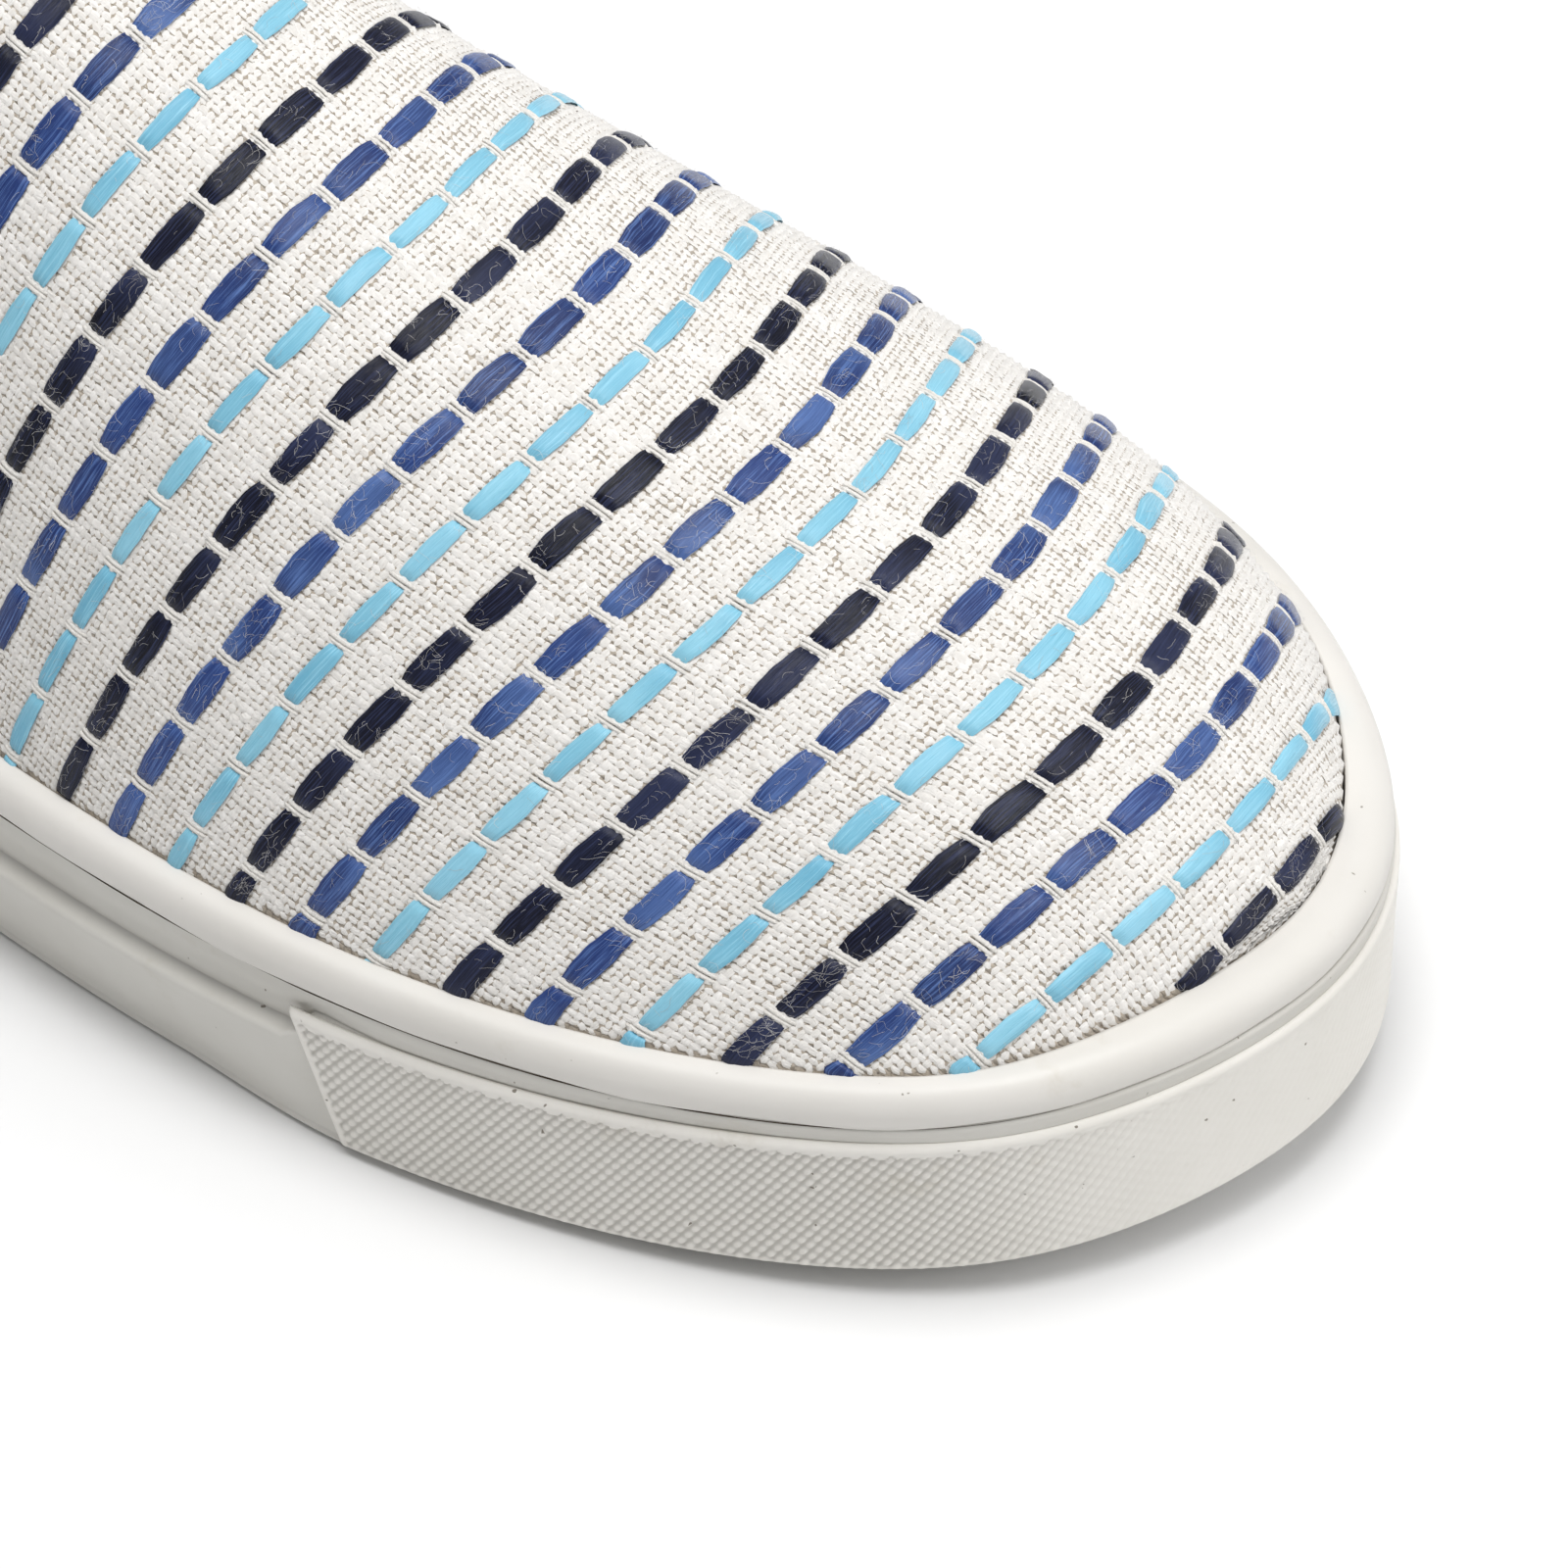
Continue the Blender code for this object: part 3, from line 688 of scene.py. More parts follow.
def toe_bumper(material):
    """A strip round the toe: a grid of front points, and a plain back that follows its rim."""
    path = (HEEL_INDEX + np.arange(OUTLINE_SAMPLES)) % OUTLINE_SAMPLES
    line = DENSE[path]
    run = run_length(line)
    ahead = run[line[:, 0] > BUMPER_START * LENGTH]
    first, last = ahead[0], ahead[-1]
    columns = int((last - first) / KNURL_STEP) + 1
    rows = int(BUMPER_TALL / KNURL_STEP) + 1
    share = np.linspace(0.0, 1.0, rows)[:, None]
    slant = BUMPER_SLANT * (1.0 - share)
    place = first + slant + (last - first - 2 * slant) * np.linspace(0.0, 1.0, columns)
    flat, out = columns_at(place, run, line), columns_at(place, run, NORMALS[path])
    low = floor_line(flat[..., 0]) + BUMPER_LIFT
    high = bumper_top(flat[..., 0])
    z = low + (high - low) * share
    ways = np.linalg.solve(np.array(KNURL_WAYS).T, np.stack([place, z - low]).reshape(2, -1))
    rise, fall = ways.reshape(2, rows, columns)
    ridge = KNURL_RIDGE + (1.0 - KNURL_RIDGE) * np.abs(np.cos(np.pi * rise)) ** 2
    knurl = np.abs(np.cos(np.pi * fall)) ** KNURL_SHARPNESS * ridge
    point_z = low + KNURL_WAYS[0][1] * np.round(rise) + KNURL_WAYS[1][1] * np.round(fall)
    ends = np.minimum(place - first - slant, last - slant - place)
    field = (high - (point_z + z) / 2.0 > KNURL_BORDER) * smooth_step(z - low, *KNURL_FOOT)
    field = field * smooth_step(ends, *KNURL_ENDS)
    field = field * (KNURL_TIP + (1.0 - KNURL_TIP) * smooth_step(np.abs(place - ahead.mean()), *KNURL_FADE))
    edges = zip((high - z, z - low, ends), BUMPER_ROUND)
    round_off = sum(depth * np.clip(1.0 - gap / reach, 0.0, 1.0) ** 2 for gap, (reach, depth) in edges)
    sunk = KNURL_HEIGHT * field * (1.0 - knurl) + round_off

    def layer(inset):
        return np.concatenate([flat - out * inset, z[..., None]], -1).reshape(-1, 3)

    grid = np.arange(rows * columns).reshape(rows, columns)
    rim = np.concatenate([grid[0, :-1], grid[:-1, -1], grid[-1, :0:-1], grid[:0:-1, 0]])
    behind = grid.size + np.arange(len(rim))
    faces = band_faces(rows, columns)
    faces += np.stack([rim, np.roll(rim, -1), np.roll(behind, -1), behind], -1).tolist()
    bottom, top = behind[:columns], behind[columns + rows - 2 : 2 * columns + rows - 2][::-1]
    faces += np.stack([bottom[:-1], bottom[1:], top[1:], top[:-1]], -1).tolist()
    front = layer((WALL_INSET - GAP - BUMPER_THICK + sunk)[..., None])
    points = np.vstack([front, layer(WALL_INSET - BUMPER_CLEAR)[rim]])
    # the second coordinate is the knurl's depth, which the rubber uses for painted shade in the grooves
    depth = np.stack([place, 1.0 - field * (1.0 - knurl)], -1).reshape(-1, 2)
    made = add_mesh("toe_bumper_knurled", points, faces, material, uv=np.vstack([depth, depth[rim]]))
    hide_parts("toe_bumper")
    return made


# inset and depth under the top of the insole's rounded edge
INSOLE_ROUND = ((0.0, 1.0), (0.25, 0.4), (0.9, 0.05), (2.0, 0.0))


def insole(material):
    edge = FEATHER + UPPER_WALL + GAP
    rows = [(edge, 0.0)] + [(edge + inset, INSOLE_THICK - drop) for inset, drop in INSOLE_ROUND]
    rings = [ring_points(distance, cup_floor, GAP + lift) for distance, lift in rows]
    made = capped_rings("insole_footbed", rings, material, mapped=True)
    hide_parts("insole")
    return made


# The upper's surface: sections heel to toe, each from the outer to the inner foot
ALONG_STEPS = 220
ACROSS_STEPS = 100
SECTION_SAMPLES = 401
SKIRT_STEPS = 2
FEET = [SKIRT_STEPS, -1 - SKIRT_STEPS]


def outline_sides(depth):
    """The feather line's outer and inner points at the same places along."""
    heel, toe = DENSE[HEEL_INDEX, 0], DENSE[TOE_INDEX, 0]
    wanted = heel + (toe - heel) * (1.0 - np.cos(np.pi * np.arange(ALONG_STEPS + 1) / ALONG_STEPS)) / 2.0
    sides = []
    for path in (SIDE_PATHS[0], SIDE_PATHS[1][::-1]):
        moved = DENSE[path] - NORMALS[path] * (FEATHER[path] + depth)[:, None]
        index = np.arange(len(path))
        sides.append(columns_at(np.interp(wanted, DENSE[path, 0], index), index, moved))
    return sides


def heel_shift(along, share):
    near = np.clip(1.0 - along / HEEL_REACH, 0.0, 1.0) ** 2
    return near * (HEEL_LEAN * share**2 - HEEL_BULGE * np.sin(np.pi * np.clip(share, 0.0, 1.0)))


def last_surface(depth, across_steps):
    """Points of the last, [section, place across, xyz], at a depth under the canvas and with skirts."""
    outer, inner = outline_sides(depth)
    middle, half = (outer + inner) / 2.0, (outer - inner) / 2.0
    along = middle[:, 0]
    foot = feather_line(along)
    behind = np.clip((along[-1] - along) / TOE_ROUND, 0.0, 1.0)
    round_off = (1.0 - (1.0 - behind) ** TOE_POWER) ** TOE_EDGE
    rise = (ridge_height(along) - depth - foot) * round_off
    power = section_power(along)
    turn = np.cos(np.linspace(0.0, np.pi, SECTION_SAMPLES))
    surface = np.zeros((ALONG_STEPS + 1, across_steps + 1 + 2 * SKIRT_STEPS, 3))
    for i in range(ALONG_STEPS + 1):
        up = (1.0 - np.abs(turn) ** power[i]) ** SECTION_EDGE
        run = np.hypot(np.diff(turn) * np.linalg.norm(half[i]), np.diff(up) * rise[i])
        length = np.insert(np.cumsum(run + TINY), 0, 0.0)
        even = np.linspace(0.0, length[-1], across_steps + 1)
        share, height = np.interp(even, length, turn), np.interp(even, length, up)
        points = surface[i, SKIRT_STEPS:-SKIRT_STEPS]
        points[:, :2] = middle[i] + half[i] * share[:, None]
        points[:, 0] += heel_shift(along[i], rise[i] * height / (HEEL_TOP - foot[i]))
        points[:, 1] += RIDGE_INWARD * height * round_off[i]
        points[:, 2] = foot[i] + rise[i] * height
    for k in range(SKIRT_STEPS):
        for end, row in zip(FEET, (SKIRT_STEPS - 1 - k, k - SKIRT_STEPS)):
            surface[:, row] = surface[:, end]
            fall = cup_floor(surface[:, end, 0]) + GAP - surface[:, end, 2]
            surface[:, row, 2] += fall * (k + 1) / SKIRT_STEPS
    return surface


# The fabric on the last: stripes that bow back at the sides, their places on the ridge, and their floats
STRIPE_BOW = 0.0085
BOW_MIDDLE = 3.0
STRIPE_PITCH = 7.25
STRIPE_PLACES = (
    130.7, 126.0, 120.4, 114.1, 107.1, 100.2, 93.4, 86.0, 79.0,
    71.8, 64.9, 58.0, 51.0, 44.1, 37.6, 30.8, 24.1, 17.7,
)
FLOAT_PITCH = 7.6
# place along the ridge, place across of the middle tie
TIE_PLACES = (
    (-200.0, 1.0), (58.0, 1.0), (72.0, 1.5), (86.0, 2.0), (100.0, 2.9),
    (107.0, 3.9), (114.0, 5.4), (120.0, 6.8), (126.0, 7.8), (140.0, 9.0),
)
SIDE_SEAM = 2.0
REAR_START = 70.0
STRIPE_STEP = 0.5
FLOAT_STEP = 0.5
FABRIC_HALF = 110.0
REAR_REACH = 300.0
TOE_REACH = 20.0
TOE_STRETCH = 1.55


def fabric_map(surface):
    """Fabric coordinates of each point of the surface: along from the toe stripe back, and across.

    Also a grid of lines across: their places along, and the places across, points and validity on them.
    """
    shoe = surface[..., :2] - CENTRE
    bowed = shoe[..., 0] + STRIPE_BOW * (shoe[..., 1] - BOW_MIDDLE) ** 2
    places = np.array(STRIPE_PLACES[::-1])
    counts = STRIPE_PITCH * np.arange(len(places))[::-1]
    rear = (counts[0] - counts[1]) / (places[1] - places[0])
    places = np.concatenate([[places[0] - REAR_REACH], places, [places[-1] + TOE_REACH]])
    counts = np.concatenate([[counts[0] + REAR_REACH * rear], counts, [counts[-1] - TOE_REACH * TOE_STRETCH]])
    u = np.interp(bowed, places, counts)
    turn_back = int(np.searchsorted(surface[:, SKIRT_STEPS, 0], REAR_START))
    step = np.linalg.norm(np.diff(surface[: turn_back + 1, :, :2], axis=0), axis=2)
    u[:turn_back] = u[turn_back] + np.cumsum(step[::-1], axis=0)[::-1]
    stations, columns = u.shape
    walked = run_length(surface)
    for j in range(columns):
        first = int((u[:, j] < 0).argmax())
        if first:
            u[first:, j] = u[first, j] - (walked[first:, j] - walked[first, j])
    u_grid = np.arange(u.min() - 1.0, u.max() + 1.0, STRIPE_STEP)
    index = np.stack([np.interp(u_grid, line[::-1], np.arange(stations)[::-1]) for line in u.T], -1)
    low = np.clip(np.floor(index).astype(int), 0, stations - 2)
    share = (index - low)[..., None]
    column = np.arange(columns)
    curve = surface[low, column] * (1 - share) + surface[low + 1, column] * share
    length = run_length(curve, axis=1)
    tie_across = np.interp(np.interp(u_grid, counts[::-1], places[::-1]), *np.array(TIE_PLACES).T)
    sides = curve[..., 1] - CENTRE[1]
    v = np.array([run - np.interp(tie, side, run) for run, tie, side in zip(length, tie_across, sides)])
    seam = int(np.searchsorted(u_grid, np.interp(SIDE_SEAM, places, counts)))
    outer, inner = (v[seam, k] + length[seam:] - length[seam:, k, None] for k in FEET)
    middle = columns // 2
    v[seam:, :middle] = np.minimum(outer[:, :middle], -0.01)
    v[seam:, middle:] = np.maximum(inner[:, middle:], 0.01)
    v_at = np.stack([np.interp(u[:, j], u_grid, v[:, j]) for j in range(columns)], -1)
    return u, v_at, u_grid, v, curve, (index > 0.01) & (index < stations - 1.01)


class Fabric:
    """The canvas as a function of the fabric coordinates: points, normals and where the foot is."""

    def __init__(self, surface):
        self.u, self.v, self.u_grid, v, curve, real = fabric_map(surface)
        self.v_grid = np.arange(-FABRIC_HALF, FABRIC_HALF, FLOAT_STEP)
        self.foot = v[:, FEET]
        lines = zip(v, np.concatenate([curve, real[..., None]], -1))
        table = np.array([columns_at(self.v_grid, *line) for line in lines])
        points, self.real = table[..., :3], table[..., 3]
        normals = unit(np.cross(np.gradient(points, axis=1), np.gradient(points, axis=0)))
        self.grid = np.concatenate([points, normals], -1)

    def cell(self, u, v):
        """Fractional row and column of fabric coordinates."""
        i = np.clip((u - self.u_grid[0]) / STRIPE_STEP, 0, len(self.u_grid) - 1.001)
        return i, np.clip((v - self.v_grid[0]) / FLOAT_STEP, 0, len(self.v_grid) - 1.001)

    def at(self, u, v):
        """Point and outward normal at fabric coordinates."""
        i, j = self.cell(u, v)
        a, b = np.floor(i).astype(int), np.floor(j).astype(int)
        s, t = (i - a)[..., None], (j - b)[..., None]
        low = self.grid[a, b] * (1 - t) + self.grid[a, b + 1] * t
        high = self.grid[a + 1, b] * (1 - t) + self.grid[a + 1, b + 1] * t
        made = low * (1 - s) + high * s
        return made[..., :3], unit(made[..., 3:])

    def feet(self, u):
        """The outer and inner foot across, at a place along the fabric."""
        return [np.interp(u, self.u_grid, self.foot[:, k]) for k in (0, 1)]

    def there(self, u, v):
        """Whether the canvas reaches these fabric coordinates."""
        i, j = (np.round(x).astype(int) for x in self.cell(u, v))
        low, high = self.feet(u)
        return (self.real[i, j] > 0.9) & (v > low) & (v < high)


TOPLINE_SAMPLES = 400


def topline(drop):
    """The topline seen from the side, moved down into the upper by a distance."""
    edge = smooth_line(np.array(TOPLINE) * (LENGTH, 1.0), TOPLINE_SAMPLES)
    ahead = unit(np.gradient(edge, axis=0))
    return edge + np.stack([-ahead[:, 1], ahead[:, 0]], -1) * drop


def above_topline(points, line):
    """How far points lie over the topline, positive in the opening; the throat's edge closes it in front."""
    order = np.argsort(line[:, 0])
    height = np.interp(points[..., 0], line[order, 0], line[order, 1])
    return np.where(points[..., 0] > line[:, 0].max(), -1.0, points[..., 2] - height)


SHELL_WELD = 0.02
CUTTER_TOP = 160.0
CUTTER_SIDE = 90.0
CUTTER_STEP = 4


def upper_shell(canvas, lining):
    """The canvas and its lining as one closed wall, cut along the topline."""
    skin, inside = last_surface(0.0, ACROSS_STEPS), last_surface(UPPER_WALL, ACROSS_STEPS)
    cloth = Fabric(skin)
    rows, columns = skin.shape[:2]
    count = rows * columns
    outer_faces = band_faces(rows, columns)
    faces = repeat_faces(outer_faces, count, 2)
    for edge in (0, columns - 1):
        here = np.arange(rows - 1) * columns + edge
        ahead = here + columns
        faces += np.stack([here, ahead, count + ahead, count + here], -1).tolist()
    uv = np.stack([cloth.u, cloth.v], -1).reshape(-1, 2)
    points = np.vstack([skin.reshape(-1, 3), inside.reshape(-1, 3)])
    slots = np.arange(len(faces)) >= len(outer_faces)
    made = add_mesh("upper_canvas", points, faces, canvas, np.vstack([uv, uv]), SHELL_WELD, slots)
    made.data.materials.append(lining)
    line = topline(0.0)
    roof = [(line[-1, 0], CUTTER_TOP), (line[0, 0], CUTTER_TOP)]
    outline = np.vstack([line[::CUTTER_STEP], line[-1:], roof])
    ring = len(outline)
    prism = [(a, side, h) for side in (-CUTTER_SIDE, CUTTER_SIDE) for a, h in outline]
    ends = [range(ring), range(2 * ring - 1, ring - 1, -1)]
    cutter = add_mesh("collar_cutter", prism, band_faces(2, ring, closed=True) + ends, None)
    cut = made.modifiers.new("collar", "BOOLEAN")
    cut.operation = "DIFFERENCE"
    cut.object = cutter
    bpy.context.view_layer.update()
    result = bpy.data.meshes.new_from_object(made.evaluated_get(bpy.context.evaluated_depsgraph_get()))
    made.modifiers.clear()
    made.data = result
    bpy.data.objects.remove(cutter, do_unlink=True)
    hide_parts("upper")
    return made, cloth, skin


# The woven yarns: a checkerboard of short crowned lengths, warp along the shoe and weft across it
ROWS_PER_STRIPE = 9
RIBBON_ROWS = 1
HEEL_PLAIN = 11.0
WARP_HALF = 130
YARN_NAMES = ("warp_yarns", "weft_yarns")
YARN_HEIGHT = 0.28
YARN_SINK = 0.03
YARN_REACH = 0.70
YARN_WIDTH = 0.47
YARN_TAPER = 0.27
YARN_ROUND = 0.10
YARN_FALL = (0.95, 0.75)
YARN_LIMITS = (0.65, 1.5)
YARN_SHIFT = 0.032
YARN_TILT = 0.06
YARN_NUBS = 0.025
LENGTH_SPREAD = 0.08
THREAD_SPREAD = 0.09
THREADS = 1200
THREAD_START = 200
SLUB_LENGTH = 4
SLUB_FROM = 0.90
SLUB_THICKER = 0.40
LANE_HEIGHT = 0.45
TOE_ROW = -27
TOPLINE_CLEAR = 1.2


def stripe_count(cloth):
    return int((cloth.u[0].max() - HEEL_PLAIN) / STRIPE_PITCH) + 1


def yarn_lengths(cloth, material, way):
    """One mesh of every place where the yarns of one way lie on top; way is 0 for warp, 1 for weft."""
    rows = np.arange(TOE_ROW, int(cloth.u_grid[-1] / WEFT_PITCH))
    grid = np.meshgrid(rows, np.arange(-WARP_HALF, WARP_HALF + 1), indexing="ij")
    row, column = (x.ravel() for x in grid)
    off_stripe = (row + RIBBON_ROWS) % ROWS_PER_STRIPE > 2 * RIBBON_ROWS
    off_stripe |= row > ROWS_PER_STRIPE * (stripe_count(cloth) - 1) + RIBBON_ROWS
    u, v = row * WEFT_PITCH, (column + 0.5) * WARP_PITCH
    at_tie = np.abs(v - FLOAT_PITCH * np.round(v / FLOAT_PITCH)) < WARP_PITCH
    in_lane = ~off_stripe & ~at_tie
    pick = ((row + column) % 2 == way) & ~(in_lane & (row % ROWS_PER_STRIPE == 0)) & cloth.there(u, v)
    pick &= above_topline(cloth.at(u, v)[0], topline(TOPLINE_CLEAR)) < 0
    row, column, u, v, in_lane = (x[pick] for x in (row, column, u, v, in_lane))
    count = len(u)
    turn = 1 if way == 0 else -1
    place, thread = np.array((row, column))[::turn] + THREAD_START
    thick = RANDOM.normal(1.0, THREAD_SPREAD, THREADS)[thread]
    slub = RANDOM.uniform(0.0, 1.0, (THREADS, THREADS))[thread, place // SLUB_LENGTH] > SLUB_FROM
    size = thick * (1.0 + SLUB_THICKER * slub) * RANDOM.normal(1.0, LENGTH_SPREAD, count)
    size = np.clip(size, *YARN_LIMITS)[:, None]
    tilt = RANDOM.normal(0.0, YARN_TILT, (count, 1))
    u = u + RANDOM.normal(0.0, YARN_SHIFT, count)
    v = v + RANDOM.normal(0.0, YARN_SHIFT, count)
    s, c = (x.ravel() for x in np.meshgrid((-1.0, 0.0, 1.0), (-1.0, 0.0, 1.0), indexing="ij"))
    long_pitch, wide_pitch = (WEFT_PITCH, WARP_PITCH)[::turn]
    along = s * (1.0 - YARN_ROUND * c**2) * YARN_REACH * long_pitch
    along = along * RANDOM.normal(1.0, LENGTH_SPREAD, (count, 1))
    across = c * (1.0 - YARN_TAPER * s**2) * YARN_WIDTH * wide_pitch * size + along * tilt
    us, vs = (along, across)[::turn]
    us, vs = u[:, None] + us, v[:, None] + vs
    p, n = cloth.at(us, vs)
    crown = (1.0 - YARN_FALL[0] * s**2) * (1.0 - YARN_FALL[1] * c**2)
    lift = (YARN_HEIGHT * crown * size - YARN_SINK) * np.where(in_lane, LANE_HEIGHT, 1.0)[:, None]
    lift = lift + RANDOM.normal(0.0, YARN_NUBS, lift.shape)
    points = (p + n * lift[..., None]).reshape(-1, 3)
    faces = repeat_faces(band_faces(3, 3), len(s), count)
    return add_mesh(YARN_NAMES[way], points, faces, material, uv=np.stack([us, vs], -1).reshape(-1, 2))


# The ribbon floats between the ties
FLOAT_GAP = 0.95
FLOAT_HEIGHT = 0.42
FLOAT_LIFT = 0.10
FLOAT_WIDTHS = (0.92, 1.08)
FLOAT_BARREL = (0.78, 0.22, 0.7)
FLOAT_EDGE = 0.55
FLOAT_BEND = 0.12
FLOAT_FOLD = 0.05
FOLD_WAVES = 3.0
# height and number of the waves along both edges and of the middle line
FLOAT_WAVES = ((0.018, 9.0), (0.02, 19.0), (0.03, 5.0))
FLOAT_SEEDS = 400.0
FLOAT_ALONG = 14
FLOAT_ACROSS = 8
FLOAT_SHORTEST = 1.0
FLOAT_PROBES = 24
UNDER_RAND = 1.2
TIE_MARGIN = 0.4
HEM = 0.6


def float_places(cloth):
    """(colour, place along, start across, end across) of every ribbon float, and the ties between them."""
    floats, ties = [], []
    line = topline(HEM)
    colors = list(RIBBONS)
    for stripe in range(stripe_count(cloth)):
        u = stripe * STRIPE_PITCH
        low, high = cloth.feet(u)
        first, last = math.floor(low / FLOAT_PITCH), math.ceil(high / FLOAT_PITCH)
        for k in range(first, last):
            start = max(k * FLOAT_PITCH + FLOAT_GAP / 2, low - UNDER_RAND)
            end = min((k + 1) * FLOAT_PITCH - FLOAT_GAP / 2, high + UNDER_RAND)
            if end - start < FLOAT_SHORTEST:
                continue
            probes = np.linspace(start, end, FLOAT_PROBES)
            below = probes[above_topline(cloth.at(np.full(FLOAT_PROBES, u), probes)[0], line) < 0]
            if len(below) and below[-1] - below[0] > FLOAT_SHORTEST:
                floats.append((colors[stripe % len(colors)], u, below[0], below[-1]))
        for v in FLOAT_PITCH * np.arange(first, last + 1):
            if low - TIE_MARGIN < v < high + TIE_MARGIN and above_topline(cloth.at(u, v)[0], line) < 0:
                ties.append((u, v))
    return floats, ties


def ribbons(cloth, floats):
    """Flat ribbon floats, one mesh for each colour: crowned, barrel-shaped, diving under the ties."""
    made = []
    s = np.linspace(0.0, 1.0, FLOAT_ALONG + 1)[:, None]
    c = np.linspace(-1.0, 1.0, FLOAT_ACROSS + 1)[None, :]
    arch = np.sin(np.pi * s)
    least, swell, power = FLOAT_BARREL
    barrel = least + swell * arch**power
    crown = (1.0 - np.abs(2 * s - 1) ** 8) * (1.0 - FLOAT_EDGE * np.abs(c) ** 4)
    for color, (mean_width, *look) in RIBBONS.items():
        points, uvs = [], []
        for _, u, start, end in (place for place in floats if place[0] == color):
            width = mean_width * RANDOM.uniform(*FLOAT_WIDTHS)
            bend = RANDOM.uniform(-FLOAT_BEND, FLOAT_BEND)
            phase = RANDOM.uniform(0.0, FULL_TURN, len(FLOAT_WAVES))
            waves = zip(FLOAT_WAVES, phase)
            slow, quick, sway = (high * np.sin(count * s + shift) for (high, count), shift in waves)
            across = width / 2 * (barrel + (slow + quick)) * c + bend * arch + sway
            fold = FLOAT_FOLD * np.sin(FOLD_WAVES * c + phase[0]) * arch
            p, n = cloth.at(u + across, start + (end - start) * (s + 0.0 * c))
            lift = FLOAT_LIFT + FLOAT_HEIGHT * crown + fold
            points.append((p + n * lift[..., None]).reshape(-1, 3))
            place = np.stack(np.broadcast_arrays(s * (end - start), c * width / 2), -1)
            uvs.append((place + RANDOM.uniform(0.0, FLOAT_SEEDS, 2)).reshape(-1, 2))
        faces = repeat_faces(band_faces(FLOAT_ALONG + 1, FLOAT_ACROSS + 1), crown.size, len(points))
        look = ribbon_material(*look)
        made.append(add_mesh("ribbon_floats_" + color, np.vstack(points), faces, look, uv=np.vstack(uvs)))
    return made


TUBE_ROUND = 0.4
TUBE_SHIFT = 0.37


def tubes_mesh(name, paths, normals, radii, flat, sides, material, seeds):
    """One mesh of many closed tubes: paths [count, steps, 3], radii [count, steps].

    The share flat squeezes them along the normals, and each seed moves one tube's fabric coordinates.
    """
    count, steps, _ = paths.shape
    ahead = unit(np.gradient(paths, axis=1))
    side = unit(np.cross(ahead, normals))
    up = np.cross(side, ahead)
    turn = turns(sides)
    ring = side[:, :, None] * np.cos(turn)[:, None] + up[:, :, None] * np.sin(turn)[:, None] * flat
    points = paths[:, :, None] + ring * radii[:, :, None, None]
    uv = np.zeros((count, steps, sides, 2))
    uv[..., 0] = run_length(paths, axis=1)[:, :, None] + seeds[:, None, None]
    uv[..., 1] = turn * TUBE_ROUND + seeds[:, None, None] * TUBE_SHIFT
    per = steps * sides
    faces = repeat_faces(band_faces(steps, sides, closed=True), per, count)
    for end in (np.arange(sides)[::-1], np.arange(per - sides, per)):
        faces += repeat_faces([end], per, count)
    return add_mesh(name, points.reshape(-1, 3), faces, material, uv=uv.reshape(-1, 2))


TIE_LENGTH = 3.1
TIE_STEPS = 5
TIE_SIDES = 5
TIE_APART = 0.22
TIE_RADIUS = 0.22
TIE_SPREAD = 0.022
TIE_FLAT = 0.72
TIE_RISE = 0.30
TIE_SINK = 0.10
TIE_JITTER = 0.06
TIE_SLIDE = 0.12
TIE_SLANT = 0.05
TIE_THINNER = 0.3
TIE_SEEDS = 300


def tie_yarns(cloth, ties, material):
    """Pairs of white yarns that cross each gap and hold the ribbon down."""
    u0, v0 = np.array(ties).T[..., None]
    one_each = u0.shape
    made = []
    s = np.linspace(-1.0, 1.0, TIE_STEPS + 1)
    lift = TIE_RISE * (1.0 - np.abs(s) ** 2.0) - TIE_SINK
    for offset in (-TIE_APART, TIE_APART):
        jitter = RANDOM.uniform(-TIE_JITTER, TIE_JITTER, one_each)
        u = u0 + TIE_LENGTH / 2 * s + RANDOM.uniform(-TIE_SLIDE, TIE_SLIDE, one_each)
        v = v0 + offset + jitter + TIE_SLANT * s * RANDOM.uniform(-1, 1, one_each)
        p, n = cloth.at(u, v)
        radii = RANDOM.normal(TIE_RADIUS, TIE_SPREAD, one_each) * (1.0 - TIE_THINNER * np.abs(s) ** 3)
        made.append((p + n * lift[:, None], n, radii, RANDOM.uniform(0, TIE_SEEDS, len(ties))))
    paths, normals, radii, seeds = (np.concatenate(both) for both in zip(*made))
    return tubes_mesh("tie_yarns", paths, normals, radii, TIE_FLAT, TIE_SIDES, material, seeds)


# Loose fibres: how many, how they curl, and on which places fewer of them lie
FUZZ_COUNT = 14000
FUZZ_STEPS = 8
FUZZ_ON_RIBBON = 0.70
FUZZ_LIGHT_SPARED = 0.72
FUZZ_REAR_SPARED = 0.75
FUZZ_FRONT = 135.0
# reach along the fabric and height over it, beside a ribbon and on it
FUZZ_PLACE = ((3.6, 0.32), (1.25, 0.49))
FUZZ_OVER = 0.3
FUZZ_BEND = 0.20
FUZZ_CURL = 0.26
FUZZ_PACE = (0.09, 0.30)
FUZZ_RISE = (0.02, 0.28)
FUZZ_HALF_WIDTH = (0.006, 0.012)
FUZZ_MARGIN = 0.2


